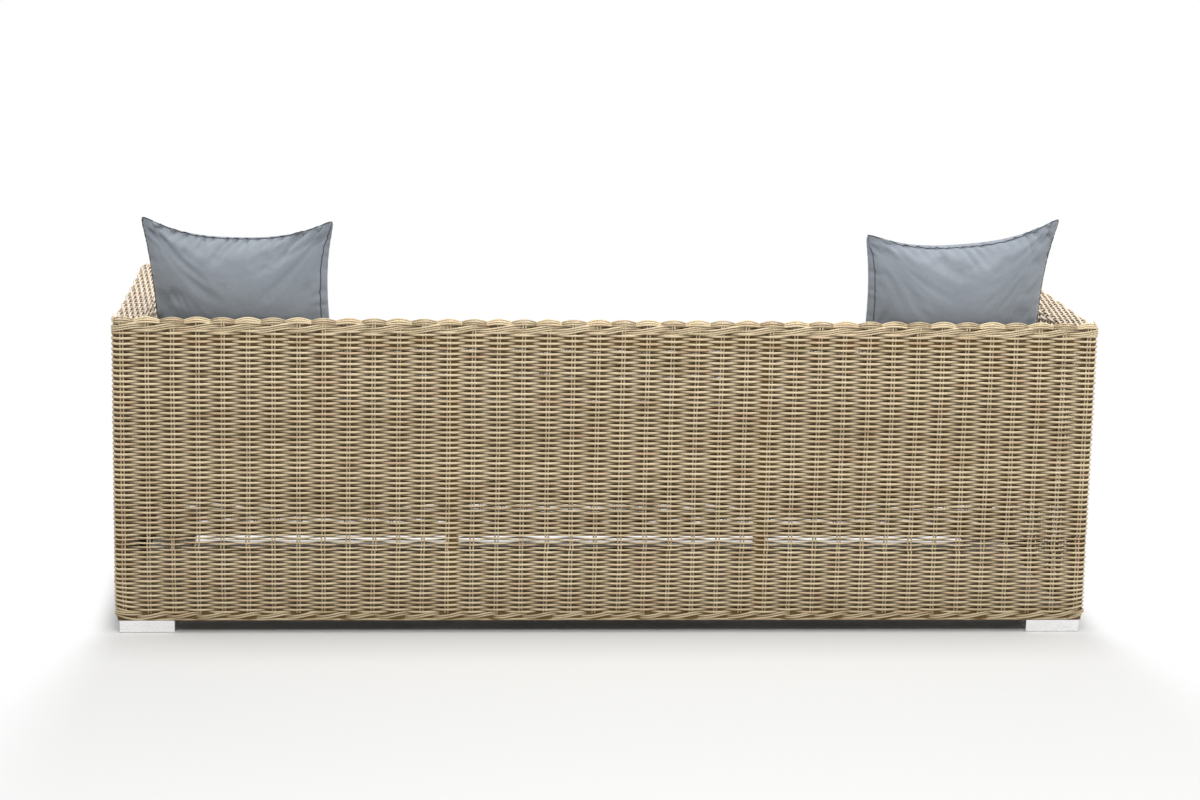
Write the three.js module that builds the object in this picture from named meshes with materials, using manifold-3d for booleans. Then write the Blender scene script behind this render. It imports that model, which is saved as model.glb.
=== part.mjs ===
// A three-seat rattan garden sofa, in millimetres, +Z up.
// It faces -Y. Its origin is on the floor, under the middle of the body. A left piece is at +X,
// at the left hand of somebody who sits on the sofa.
// An aluminium frame of square tube stands on four low metal feet. Round strands are woven over it
// in separate fields, each kept here as a thin skin. Three loose seat cushions lie on a woven deck,
// and a scatter pillow leans in each corner.
import * as THREE from 'three';
import { mergeVertices } from 'three/addons/utils/BufferGeometryUtils.js';
import Module from 'manifold-3d';

const wasm = await Module();
wasm.setup();

// Body
const overallWidth = 2100;
const overallDepth = 800;
const overallHeight = 680;
const armHeight = 676;
const armWidth = 85;
const deckHeight = 315;

// Woven skins
const weaveThickness = 6;
const cornerRadius = 18;
const borderHeight = 34;
const hemHeight = 22;
const arcSteps = 6;

// Frame of square tube
const tubeSize = 25;
const tubeWall = 1.5;
const uprightSpacing = 660;
const crossTubeCount = 3;
const crossTubeSpacing = 480;

// Feet, each a hollow metal block with a glide below and a bolt up into the frame
const footWidth = 116;
const footDepth = 80;
const footHeight = 26;
const footWall = 3;
const footTopWall = 4;
const footSideInset = 14;
const footEndInset = 7;
const glideThickness = 3;
const glideShow = 1;
const boltDiameter = 6;
const boltHeadWidth = 10;
const boltHeadHeight = 4;
const boltReach = 12;
const boltClearance = 0.6;
const boltInset = 30;
const roundSides = 24;

// Seat cushions
const cushionCount = 3;
const cushionThickness = 138;
const cushionCrown = 12;
const cushionDrawIn = 7;
const cushionEdge = 24;
const cushionGap = 3;
const cushionFrontInset = 4;
const cushionSteps = 14;
const cushionSideSteps = 4;

// Scatter pillows. The lower half is tucked in where it stands between its seat and the arm.
// The lean tips the top to the back, the turn faces the pillow to the middle of the sofa,
// and the roll tips it in its own plane, to the arm.
const pillowWidth = 425;
const pillowHeight = 427;
const pillowThickness = 130;
const pillowDrawIn = 26;
const pillowTuck = 6;
const pillowFullness = 0.42;
const pillowSteps = 18;
const pillowPoses = {
  left: { lean: 12, turn: 15, roll: 1 },
  right: { lean: 12, turn: 6, roll: -0.5 },
};
const settlePasses = 4;

// Gap between faces that touch, and the overrun of a cut
const seatGap = 0.3;
const overrun = 5;

// Worked out from the sizes above
const halfWidth = overallWidth / 2;
const halfDepth = overallDepth / 2;
const armInner = halfWidth - armWidth;
const armMiddle = halfWidth - armWidth / 2;
const innerCorner = cornerRadius - weaveThickness;
const tubeLine = weaveThickness + seatGap + tubeSize / 2;
const postLine = weaveThickness + seatGap + innerCorner * (1 - Math.SQRT1_2) + tubeSize / 2;
const postReach = postLine + tubeSize / 2 + seatGap;

const frameBottom = footHeight + seatGap;
const capBottom = overallHeight - borderHeight;
const frameTop = capBottom - seatGap;
const hemTop = footHeight + hemHeight;
const skinBottom = hemTop + seatGap;
const deckBottom = deckHeight - weaveThickness;

const lowTubeZ = frameBottom + tubeSize / 2;
const seatTubeZ = deckBottom - seatGap - tubeSize / 2;
const topTubeZ = frameTop - tubeSize / 2;

const backTubeY = halfDepth - tubeLine;
const backTubeFront = backTubeY - tubeSize / 2;
const backSkinRear = backTubeFront - seatGap;
const backInner = backSkinRear - weaveThickness;
const outerPostX = halfWidth - postLine;
const innerPostX = armInner + postLine;
const postY = halfDepth - postLine;
const outerTubeX = halfWidth - tubeLine;
const innerTubeX = armInner + tubeLine;
const seatRailX = innerTubeX - tubeSize / 2;
const backSeatTubeY = backSkinRear - tubeSize / 2;

const footX = halfWidth - footSideInset - footWidth / 2;
const footY = halfDepth - footEndInset - footDepth / 2;
const boltX = footX - footWidth / 2 + boltInset;
const boltY = backTubeY;

const cushionWidth = (2 * armInner - (cushionCount + 1) * cushionGap) / cushionCount;
const cushionBack = backInner - cushionGap;
const cushionFront = -(halfDepth - cushionFrontInset);
const cushionDepth = cushionBack - cushionFront;
const cushionBase = deckHeight + seatGap;
const cushionTop = cushionBase + cushionThickness;

// Looks
const strandFinish = { color: 0xb39c74, roughness: 0.5, metalness: 0 };
const tubeFinish = { color: 0x8a8376, roughness: 0.6, metalness: 0.4 };
const footFinish = { color: 0xd9dadb, roughness: 0.35, metalness: 0.9 };
const glideFinish = { color: 0x2b2b2b, roughness: 0.7, metalness: 0 };
const boltFinish = { color: 0x9fa3a6, roughness: 0.4, metalness: 0.9 };
const clothFinish = { color: 0x76828f, roughness: 0.9, metalness: 0 };

const sofa = new THREE.Group();

function addPiece(name, geometry, finish, position = [0, 0, 0], rotation = [0, 0, 0]) {
  const mesh = new THREE.Mesh(geometry, new THREE.MeshStandardMaterial(finish));
  mesh.name = name;
  mesh.position.set(...position);
  mesh.rotation.set(...rotation);
  sofa.add(mesh);
  return mesh;
}

// A closed mesh and a solid are two forms of the same body
function toSolid(geometry) {
  const bare = geometry.clone();
  bare.deleteAttribute('normal');
  bare.deleteAttribute('uv');
  const merged = mergeVertices(bare);
  const mesh = new wasm.Mesh({
    numProp: 3,
    vertProperties: new Float32Array(merged.attributes.position.array),
    triVerts: new Uint32Array(merged.index.array),
  });
  return new wasm.Manifold(mesh);
}

function toGeometry(solid) {
  const mesh = solid.getMesh();
  const geometry = new THREE.BufferGeometry();
  const places = new Float32Array(mesh.vertProperties);
  geometry.setAttribute('position', new THREE.BufferAttribute(places, mesh.numProp));
  geometry.setIndex(new THREE.BufferAttribute(new Uint32Array(mesh.triVerts), 1));
  geometry.computeVertexNormals();
  return geometry;
}

// A block between two corners
function block(low, high) {
  const size = high.map((value, axis) => value - low[axis]);
  const middle = high.map((value, axis) => (value + low[axis]) / 2);
  return new THREE.BoxGeometry(...size).translate(...middle);
}

function extrude(shape, height) {
  return new THREE.ExtrudeGeometry(shape, { depth: height, bevelEnabled: false, curveSegments: arcSteps });
}

// Frame

function tubeGeometry(length) {
  const outer = tubeSize / 2;
  const inner = outer - tubeWall;
  const square = new THREE.Shape();
  square.moveTo(-outer, -outer).lineTo(outer, -outer).lineTo(outer, outer).lineTo(-outer, outer);
  const bore = new THREE.Path();
  bore.moveTo(-inner, -inner).lineTo(-inner, inner).lineTo(inner, inner).lineTo(inner, -inner);
  square.holes.push(bore);
  return extrude(square, length).translate(0, 0, -length / 2);
}

function tubeAlongX(name, from, to, y, z) {
  const geometry = tubeGeometry(to - from).rotateY(Math.PI / 2);
  return addPiece(name, geometry, tubeFinish, [(from + to) / 2, y, z]);
}

function tubeAlongY(name, from, to, x, z) {
  const geometry = tubeGeometry(to - from).rotateX(Math.PI / 2);
  return addPiece(name, geometry, tubeFinish, [x, (from + to) / 2, z]);
}

function tubeAlongZ(name, from, to, x, y) {
  return addPiece(name, tubeGeometry(to - from), tubeFinish, [x, y, (from + to) / 2]);
}

function boltHole(x) {
  const radius = (boltDiameter + boltClearance) / 2;
  const length = tubeSize / 2;
  const hole = new THREE.CylinderGeometry(radius, radius, length, roundSides);
  return hole.rotateX(Math.PI / 2).translate(x, 0, -tubeSize / 2);
}

// A low rail has a hole near each end for the bolt of the foot below it
function lowRail(name, halfLength, y) {
  const rail = tubeAlongX(name, -halfLength, halfLength, y, lowTubeZ);
  let solid = toSolid(rail.geometry);
  for (const x of [-boltX, boltX]) {
    solid = solid.subtract(toSolid(boltHole(x)));
  }
  rail.geometry = toGeometry(solid);
}

function addBackFrame() {
  const halfLength = halfWidth - postReach;
  tubeAlongX('back_top_tube', -halfLength, halfLength, backTubeY, topTubeZ);
  lowRail('back_bottom_tube', halfLength, backTubeY);
  const uprightLow = frameBottom + tubeSize + seatGap;
  const uprightHigh = frameTop - tubeSize - seatGap;
  for (const [name, side] of [['left', 1], ['right', -1]]) {
    const x = side * uprightSpacing / 2;
    tubeAlongZ(`back_upright_${name}`, uprightLow, uprightHigh, x, backTubeY);
  }
}

function addArmFrame(name, side) {
  const tubeFront = -(halfDepth - postReach);
  tubeAlongZ(`rear_post_${name}`, frameBottom, frameTop, side * outerPostX, postY);
  tubeAlongZ(`front_post_${name}`, frameBottom, frameTop, side * outerPostX, -postY);
  tubeAlongZ(`inner_post_${name}`, frameBottom, frameTop, side * innerPostX, -postY);
  tubeAlongY(`arm_top_outer_tube_${name}`, tubeFront, -tubeFront, side * outerTubeX, topTubeZ);
  tubeAlongY(`arm_bottom_tube_${name}`, tubeFront, -tubeFront, side * outerTubeX, lowTubeZ);
  tubeAlongY(`arm_top_inner_tube_${name}`, tubeFront, backSkinRear, side * innerTubeX, topTubeZ);
  tubeAlongY(`arm_seat_tube_${name}`, tubeFront, backSkinRear, side * innerTubeX, seatTubeZ);
}

function addSeatFrame() {
  const frontHalfLength = innerPostX - tubeSize / 2 - seatGap;
  const rearHalfLength = seatRailX - seatGap;
  tubeAlongX('seat_front_tube', -frontHalfLength, frontHalfLength, -backTubeY, seatTubeZ);
  lowRail('front_bottom_tube', frontHalfLength, -backTubeY);
  tubeAlongX('seat_back_tube', -rearHalfLength, rearHalfLength, backSeatTubeY, seatTubeZ);
  const crossFront = -backTubeFront + seatGap;
  const crossBack = backSeatTubeY - tubeSize / 2 - seatGap;
  for (let i = 0; i < crossTubeCount; i += 1) {
    const x = (i - (crossTubeCount - 1) / 2) * crossTubeSpacing;
    tubeAlongY(`seat_cross_tube_${i + 1}`, crossFront, crossBack, x, seatTubeZ);
  }
}

// Woven skins

// The outline of a wall seen end on: two legs that end at y = 0 and a flat crown, with rounded
// corners between them. A skin is as thick as the weave, and a full outline has no hollow.
function arch(width, leg) {
  const outer = width / 2;
  const rise = leg + cornerRadius;
  const shape = new THREE.Shape();
  shape.moveTo(outer, 0).lineTo(outer, leg);
  shape.absarc(outer - cornerRadius, leg, cornerRadius, 0, Math.PI / 2, false);
  shape.lineTo(cornerRadius - outer, rise);
  shape.absarc(cornerRadius - outer, leg, cornerRadius, Math.PI / 2, Math.PI, false);
  shape.lineTo(-outer, 0);
  return shape;
}

function archSkin(width, leg) {
  const outer = width / 2;
  const inner = outer - weaveThickness;
  const shape = arch(width, leg);
  shape.lineTo(-inner, 0).lineTo(-inner, leg);
  shape.absarc(cornerRadius - outer, leg, innerCorner, Math.PI, Math.PI / 2, true);
  shape.lineTo(outer - cornerRadius, leg + innerCorner);
  shape.absarc(outer - cornerRadius, leg, innerCorner, Math.PI / 2, 0, true);
  shape.lineTo(inner, 0);
  return shape;
}

const wallY = halfDepth - cornerRadius;
const wallHalfLength = wallY - seatGap;

// The rear and front walls turn round the corners and end at the side walls
function addHems() {
  const hem = extrude(archSkin(overallWidth, 0), hemHeight);
  addPiece('back_hem', hem, strandFinish, [0, wallY, footHeight]);
  addPiece('front_hem', hem.clone(), strandFinish, [0, -wallY, footHeight], [0, 0, Math.PI]);
  for (const [name, side] of [['left', 1], ['right', -1]]) {
    const x = side * (halfWidth - weaveThickness / 2);
    const bar = new THREE.BoxGeometry(weaveThickness, 2 * wallHalfLength, hemHeight);
    addPiece(`arm_hem_${name}`, bar, strandFinish, [x, 0, footHeight + hemHeight / 2]);
  }
}

function addBackSkins() {
  const outer = extrude(archSkin(overallWidth, 0), frameTop - skinBottom);
  addPiece('back_outer_weave', outer, strandFinish, [0, wallY, skinBottom]);
  const innerEdge = seatRailX - seatGap;
  const inner = block([-innerEdge, backInner, deckHeight + seatGap], [innerEdge, backSkinRear, frameTop]);
  addPiece('back_inner_weave', inner, strandFinish);
}

// The braided roll on the top of the back is rounded over its top and round the rear corners
function addBackBorder() {
  const depth = halfDepth - backInner;
  const roll = new THREE.Shape();
  roll.moveTo(-depth / 2, 0).lineTo(depth / 2, 0).lineTo(depth / 2, borderHeight - depth / 2);
  roll.absarc(0, borderHeight - depth / 2, depth / 2, 0, Math.PI, false);
  const bar = extrude(roll, overallWidth).translate(0, 0, -halfWidth);
  bar.rotateX(Math.PI / 2).rotateZ(Math.PI / 2).translate(0, halfDepth - depth / 2, 0);
  const plan = extrude(arch(overallWidth, depth), borderHeight);
  plan.translate(0, halfDepth - depth - cornerRadius, 0);
  const border = toGeometry(toSolid(bar).intersect(toSolid(plan)));
  addPiece('back_top_border', border, strandFinish, [0, 0, capBottom]);
}

function addArmSkins(name, side) {
  const outer = new THREE.BoxGeometry(weaveThickness, 2 * wallHalfLength, frameTop - skinBottom);
  const outerX = side * (halfWidth - weaveThickness / 2);
  addPiece(`arm_outer_weave_${name}`, outer, strandFinish, [outerX, 0, (frameTop + skinBottom) / 2]);

  const innerBottom = deckHeight + seatGap;
  const innerFront = -wallHalfLength;
  const innerBack = backInner - seatGap;
  const inner = new THREE.BoxGeometry(weaveThickness, innerBack - innerFront, frameTop - innerBottom);
  const innerX = side * (armInner + weaveThickness / 2);
  const innerPlace = [innerX, (innerBack + innerFront) / 2, (frameTop + innerBottom) / 2];
  addPiece(`arm_inner_weave_${name}`, inner, strandFinish, innerPlace);

  addArmFront(name, side);
  addArmTop(name, side);
}

// The front of an arm turns round the outer corner at every height, and round the inner corner
// only above the seat, where the front apron ends
function addArmFront(name, side) {
  const height = frameTop - skinBottom;
  const wall = extrude(archSkin(armWidth, 0), height).rotateZ(Math.PI);
  const innerSide = -side * armWidth / 2;
  const cornerSide = innerSide + side * cornerRadius;
  const cutLow = [Math.min(innerSide - overrun, cornerSide), -cornerRadius - overrun, -overrun];
  const cutHigh = [Math.max(innerSide + overrun, cornerSide), overrun, deckHeight + seatGap - skinBottom];
  const cut = block(cutLow, cutHigh);
  const geometry = toGeometry(toSolid(wall).subtract(toSolid(cut)));
  addPiece(`arm_front_weave_${name}`, geometry, strandFinish, [side * armMiddle, -wallY, skinBottom]);
}

// The top of an arm is a lid with rounded edges and a closed front end
function addArmTop(name, side) {
  const leg = armHeight - capBottom - cornerRadius;
  const back = backInner - seatGap;
  const length = back + halfDepth;
  const outside = extrude(arch(armWidth, leg), length);
  const hollowWidth = armWidth - 2 * weaveThickness;
  const hollowTop = leg + innerCorner;
  const hollow = new THREE.Shape();
  hollow.moveTo(hollowWidth / 2, -overrun).lineTo(hollowWidth / 2, leg);
  hollow.absarc(hollowWidth / 2 - innerCorner, leg, innerCorner, 0, Math.PI / 2, false);
  hollow.lineTo(innerCorner - hollowWidth / 2, hollowTop);
  hollow.absarc(innerCorner - hollowWidth / 2, leg, innerCorner, Math.PI / 2, Math.PI, false);
  hollow.lineTo(-hollowWidth / 2, -overrun);
  const inside = extrude(hollow, length).translate(0, 0, -weaveThickness);
  const lid = toGeometry(toSolid(outside).subtract(toSolid(inside))).rotateX(Math.PI / 2);
  addPiece(`arm_top_weave_${name}`, lid, strandFinish, [side * armMiddle, back, capBottom]);
}

function addFrontApron() {
  const edge = armInner + cornerRadius - seatGap;
  const apron = block([-edge, -halfDepth, skinBottom], [edge, weaveThickness - halfDepth, deckHeight]);
  addPiece('front_apron_weave', apron, strandFinish);
}

// The deck lies on the seat tubes, and its front corners are cut out round the inner posts
function addDeck() {
  const edge = innerTubeX + tubeSize / 2;
  const front = -(halfDepth - weaveThickness - seatGap);
  const notchX = innerPostX - tubeSize / 2 - seatGap;
  const notchY = -(halfDepth - postReach);
  const plan = new THREE.Shape();
  plan.moveTo(-notchX, front).lineTo(notchX, front).lineTo(notchX, notchY).lineTo(edge, notchY);
  plan.lineTo(edge, backSkinRear).lineTo(-edge, backSkinRear).lineTo(-edge, notchY).lineTo(-notchX, notchY);
  addPiece('seat_deck_weave', extrude(plan, weaveThickness), strandFinish, [0, 0, deckBottom]);
}

// Feet

function footGeometry(boltAt) {
  const outsideX = footWidth / 2;
  const outsideY = footDepth / 2;
  const insideX = outsideX - footWall;
  const insideY = outsideY - footWall;
  const outside = block([-outsideX, -outsideY, glideShow], [outsideX, outsideY, footHeight]);
  const inside = block([-insideX, -insideY, -overrun], [insideX, insideY, footHeight - footTopWall]);
  const radius = (boltDiameter + boltClearance) / 2;
  const hole = new THREE.CylinderGeometry(radius, radius, 2 * footHeight, roundSides);
  hole.rotateX(Math.PI / 2).translate(boltAt[0], boltAt[1], footHeight);
  return toGeometry(toSolid(outside).subtract(toSolid(inside)).subtract(toSolid(hole)));
}

function boltGeometry() {
  const headRadius = boltHeadWidth / Math.sqrt(3);
  const shankRadius = boltDiameter / 2;
  const shankLength = boltHeadHeight + footTopWall + boltReach;
  const head = new THREE.CylinderGeometry(headRadius, headRadius, boltHeadHeight, 6);
  head.rotateX(Math.PI / 2).translate(0, 0, -boltHeadHeight / 2);
  const shank = new THREE.CylinderGeometry(shankRadius, shankRadius, shankLength, roundSides);
  shank.rotateX(Math.PI / 2).translate(0, 0, shankLength / 2 - boltHeadHeight);
  return toGeometry(toSolid(head).add(toSolid(shank)));
}

function addFoot(name, sideX, sideY) {
  const boltAt = [sideX * (boltX - footX), sideY * (boltY - footY)];
  addPiece(`foot_${name}`, footGeometry(boltAt), footFinish, [sideX * footX, sideY * footY, 0]);
  const glideWidth = footWidth - 2 * (footWall + seatGap);
  const glideDepth = footDepth - 2 * (footWall + seatGap);
  const glide = new THREE.BoxGeometry(glideWidth, glideDepth, glideThickness);
  addPiece(`foot_glide_${name}`, glide, glideFinish, [sideX * footX, sideY * footY, glideThickness / 2]);
  const headTop = footHeight - footTopWall - seatGap;
  addPiece(`foot_bolt_${name}`, boltGeometry(), boltFinish, [sideX * boltX, sideY * boltY, headTop]);
}

// Cushions

// Crown height of a seat cushion at a place measured from its middle
function crownAt(x, y) {
  const acrossShare = Math.min(Math.abs(2 * x / cushionWidth), 1);
  const alongShare = Math.min(Math.abs(2 * y / cushionDepth), 1);
  return cushionCrown * (1 - acrossShare ** 2) * (1 - alongShare ** 2);
}

function seatCushionGeometry() {
  const half = [cushionWidth / 2, cushionDepth / 2, cushionThickness / 2];
  const geometry = new THREE.BoxGeometry(2, 2, 2, cushionSteps, cushionSteps, cushionSideSteps);
  const places = geometry.attributes.position;
  const place = new THREE.Vector3();
  const core = new THREE.Vector3();
  for (let i = 0; i < places.count; i += 1) {
    place.fromBufferAttribute(places, i);
    place.set(...place.toArray().map((share, axis) => half[axis] * Math.sin(share * Math.PI / 2)));
    core.copy(place).clamp(
      new THREE.Vector3(...half.map((value) => cushionEdge - value)),
      new THREE.Vector3(...half.map((value) => value - cushionEdge)),
    );
    const outward = place.clone().sub(core);
    place.copy(core).add(outward.setLength(cushionEdge));
    const acrossShare = place.x / half[0];
    const alongShare = place.y / half[1];
    const upShare = Math.max(place.z / half[2], 0);
    place.z += upShare * crownAt(place.x, place.y);
    place.x -= acrossShare * cushionDrawIn * (1 - alongShare ** 2);
    place.y -= alongShare * cushionDrawIn * (1 - acrossShare ** 2);
    places.setXYZ(i, ...place.toArray());
  }
  geometry.computeVertexNormals();
  return geometry;
}

function seatCushionX(index) {
  return ((cushionCount - 1) / 2 - index) * (cushionWidth + cushionGap);
}

function addSeatCushions() {
  const names = ['left', 'middle', 'right'];
  for (let i = 0; i < cushionCount; i += 1) {
    const place = [seatCushionX(i), (cushionFront + cushionBack) / 2, cushionBase + cushionThickness / 2];
    addPiece(`seat_cushion_${names[i] ?? i + 1}`, seatCushionGeometry(), clothFinish, place);
  }
}

// A pillow is two panels that share one seam. It stands in the X-Z plane, with its face to -Y.
function pillowGeometry() {
  const row = pillowSteps + 1;
  const places = [];
  const panelPoint = (i, j, side) => {
    const a = Math.sin((i / pillowSteps - 0.5) * Math.PI);
    const b = Math.sin((j / pillowSteps - 0.5) * Math.PI);
    const x = a * (pillowWidth / 2 - pillowDrawIn * (1 - b ** 2) - pillowTuck * (1 - b) / 2);
    const z = b * (pillowHeight / 2 - pillowDrawIn * (1 - a ** 2));
    const swell = Math.max((1 - a ** 2) * (1 - b ** 2), 0) ** pillowFullness;
    return [x, side * swell * pillowThickness / 2, z];
  };
  const indexOf = [new Map(), new Map()];
  [-1, 1].forEach((side, panel) => {
    for (let j = 0; j < row; j += 1) {
      for (let i = 0; i < row; i += 1) {
        const onSeam = i === 0 || j === 0 || i === pillowSteps || j === pillowSteps;
        if (panel === 1 && onSeam) {
          indexOf[1].set(j * row + i, indexOf[0].get(j * row + i));
        } else {
          indexOf[panel].set(j * row + i, places.length / 3);
          places.push(...panelPoint(i, j, onSeam ? 0 : side));
        }
      }
    }
  });
  const faces = [];
  indexOf.forEach((index, panel) => {
    for (let j = 0; j < pillowSteps; j += 1) {
      for (let i = 0; i < pillowSteps; i += 1) {
        const corners = [j * row + i, j * row + i + 1, (j + 1) * row + i + 1, (j + 1) * row + i];
        const [p, q, r, s] = corners.map((corner) => index.get(corner));
        const cutFromSecond = (i < pillowSteps / 2) === (j < pillowSteps / 2);
        const pair = cutFromSecond ? [[q, r, s], [q, s, p]] : [[p, q, r], [p, r, s]];
        pair.forEach((face) => faces.push(...(panel === 0 ? face : face.reverse())));
      }
    }
  });
  const geometry = new THREE.BufferGeometry();
  geometry.setAttribute('position', new THREE.Float32BufferAttribute(places, 3));
  geometry.setIndex(faces);
  geometry.computeVertexNormals();
  return geometry;
}

function piecePoints(mesh) {
  mesh.updateMatrix();
  const places = mesh.geometry.attributes.position;
  const points = [];
  for (let i = 0; i < places.count; i += 1) {
    points.push(new THREE.Vector3().fromBufferAttribute(places, i).applyMatrix4(mesh.matrix));
  }
  return points;
}

// Height of the top of a piece at a place
function topOf(mesh, x, y) {
  const above = new THREE.Vector3(x, y, overallHeight + pillowHeight);
  const hits = new THREE.Raycaster(above, new THREE.Vector3(0, 0, -1)).intersectObject(mesh);
  return hits.length > 0 ? hits[0].point.z : -Infinity;
}

// A pillow slides out to the arm and back to the woven back, then drops on its seat cushion
function settlePillow(mesh, side, cushion) {
  cushion.updateMatrixWorld();
  const panelStep = (pillowHeight / pillowSteps) * (Math.PI / 2);
  for (let pass = 0; pass < settlePasses; pass += 1) {
    let points = piecePoints(mesh);
    const besideArm = points.filter((point) => point.z < armHeight + panelStep);
    const beforeBack = points.filter((point) => point.z < overallHeight + panelStep);
    const armRoom = armInner - seatGap - Math.max(...besideArm.map((point) => side * point.x));
    const backRoom = backInner - seatGap - Math.max(...beforeBack.map((point) => point.y));
    mesh.position.x += side * armRoom;
    mesh.position.y += backRoom;
    points = piecePoints(mesh);
    const lowest = Math.min(...points.map((point) => point.z));
    const feet = points.filter((point) => point.z < lowest + panelStep);
    const gaps = feet.map((point) => point.z - topOf(cushion, point.x, point.y));
    mesh.position.z += seatGap - Math.min(...gaps);
  }
}

function addPillow(name, side) {
  const { lean, turn, roll } = pillowPoses[name];
  const angles = [-lean, side * roll, -side * turn].map(THREE.MathUtils.degToRad);
  const start = [side * seatCushionX(0), 0, cushionTop + pillowHeight / 2];
  const mesh = addPiece(`pillow_${name}`, pillowGeometry(), clothFinish, start);
  mesh.rotation.set(...angles, 'ZXY');
  settlePillow(mesh, side, sofa.getObjectByName(`seat_cushion_${name}`));
}

addBackFrame();
addSeatFrame();
addHems();
addBackSkins();
addBackBorder();
addFrontApron();
addDeck();
addSeatCushions();
for (const [name, side] of [['left', 1], ['right', -1]]) {
  addArmFrame(name, side);
  addArmSkins(name, side);
  addPillow(name, side);
  addFoot(`rear_${name}`, side, 1);
  addFoot(`front_${name}`, side, -1);
}

export default sofa;
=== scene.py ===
# %% [markdown]
# # A rattan garden sofa
# The sofa is a square aluminium frame under a skin that is woven from round plastic strand.
# Each strand here is a real strand: it goes over one pair of stakes and behind the next, so the
# gaps, the shade between the rows and the light that comes through are all rendered. On top of
# that, the colour adds painted shade where a strand dives behind a stake.
# The steps are: measures, helpers, camera, finishes, weave, borders, metal, cushions, light.

import math

import bpy
import bmesh
import numpy as np
from mathutils import Matrix, Vector, noise
from mathutils.bvhtree import BVHTree
from mathutils.kdtree import KDTree


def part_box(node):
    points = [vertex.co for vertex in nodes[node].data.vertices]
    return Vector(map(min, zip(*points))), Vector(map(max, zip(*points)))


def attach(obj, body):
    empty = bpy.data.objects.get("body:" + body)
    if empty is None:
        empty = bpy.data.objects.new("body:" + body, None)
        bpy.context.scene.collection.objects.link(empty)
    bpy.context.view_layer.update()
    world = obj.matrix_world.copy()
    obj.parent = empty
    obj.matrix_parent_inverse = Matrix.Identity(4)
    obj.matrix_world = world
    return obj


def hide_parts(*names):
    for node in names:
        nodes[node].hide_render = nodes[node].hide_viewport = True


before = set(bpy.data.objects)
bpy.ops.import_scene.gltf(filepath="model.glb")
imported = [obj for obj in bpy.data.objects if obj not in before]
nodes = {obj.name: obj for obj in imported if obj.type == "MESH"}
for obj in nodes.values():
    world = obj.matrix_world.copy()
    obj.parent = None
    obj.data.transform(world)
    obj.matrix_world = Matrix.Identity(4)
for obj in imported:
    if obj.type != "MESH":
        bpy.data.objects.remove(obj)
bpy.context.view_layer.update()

# %% [markdown]
# ## Measures
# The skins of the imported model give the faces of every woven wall. The strand itself is measured
# on the sofa: 5 mm round, over stakes of two thinner strands every 52.6 mm. The rows are packed
# tight near the floor, one every 5.2 mm, and open to one every 5.75 mm under the top border.
# A wall that is woven from such strand is as thick as two strands and a stake, so its stakes
# stand half of that behind its face. A corner's radius is measured on the face as well.

# %% The strand, the stakes and the planes that the stakes stand in
STRAND_RADIUS = 0.0025
STAKE_RADIUS = 0.0019
STAKE_GAP = 0.006
STAKE_PITCH = 0.0526
LOW_ROW_PITCH = 0.0052
HIGH_ROW_PITCH = 0.00575
WAVE = STRAND_RADIUS + STAKE_RADIUS
HALF_WEAVE = WAVE + STRAND_RADIUS
FACE_CORNER = 0.018
CORNER = FACE_CORNER - HALF_WEAVE

side_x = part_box("back_outer_weave")[1].x - HALF_WEAVE
rear_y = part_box("back_outer_weave")[1].y - HALF_WEAVE
front_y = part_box("front_apron_weave")[0].y + HALF_WEAVE
inner_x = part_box("arm_inner_weave_left")[0].x + HALF_WEAVE
inner_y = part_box("back_inner_weave")[0].y + HALF_WEAVE
skin_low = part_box("back_outer_weave")[0].z
skin_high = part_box("back_outer_weave")[1].z
deck_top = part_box("seat_deck_weave")[1].z
first_row_z = skin_low - LOW_ROW_PITCH / 2
row_count = 1 + round((skin_high - skin_low) * 2 / (LOW_ROW_PITCH + HIGH_ROW_PITCH))
row_growth = (HIGH_ROW_PITCH - LOW_ROW_PITCH) / row_count


def row_z(row):
    """Height of a row's middle. Each row is a little further from the one below it."""
    return first_row_z + row * LOW_ROW_PITCH + row_growth * row * row / 2


seat_row = next(row for row in range(row_count) if row_z(row) > deck_top + STRAND_RADIUS)
print("stake planes: side", round(side_x, 4), "rear", round(rear_y, 4))
print(row_count, "rows, up to", round(row_z(row_count - 0.5), 4), "- first above the seat:", seat_row)

# %% [markdown]
# ## Object helpers
# Most meshes here come from a modifier. It sits on a carrier, an object that is removed again
# once its evaluated mesh has been copied out.

# %% Objects and their evaluated meshes
def placed(name, data):
    """A new object in the scene."""
    made = bpy.data.objects.new(name, data)
    bpy.context.scene.collection.objects.link(made)
    return made


def harvest(carrier):
    """The carrier's evaluated mesh as a mesh of its own. The carrier is removed."""
    graph = bpy.context.evaluated_depsgraph_get()
    mesh = bpy.data.meshes.new_from_object(carrier.evaluated_get(graph), depsgraph=graph)
    bpy.data.objects.remove(carrier)
    return mesh


def dress(mesh, finish):
    """Makes a finish the only one of a mesh."""
    mesh.materials.clear()
    mesh.materials.append(finish)


print("object helpers ready")

# %% [markdown]
# ## Camera
# The sofa is seen from behind and a little above. The place, the turn and the lens were found by
# matching the corners of the back, the arms and the feet.

# %% Camera
PHOTO_WIDTH = 1200
FOCAL_PIXELS = 2911
SENSOR_WIDTH = 36
CAMERA_PLACE = Vector((0.494, 6.431, 1.71))
CAMERA_DOWN = math.radians(11.21)
CAMERA_TURN = math.radians(-4.48)
CAMERA_ROLL = math.radians(1.15)

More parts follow.
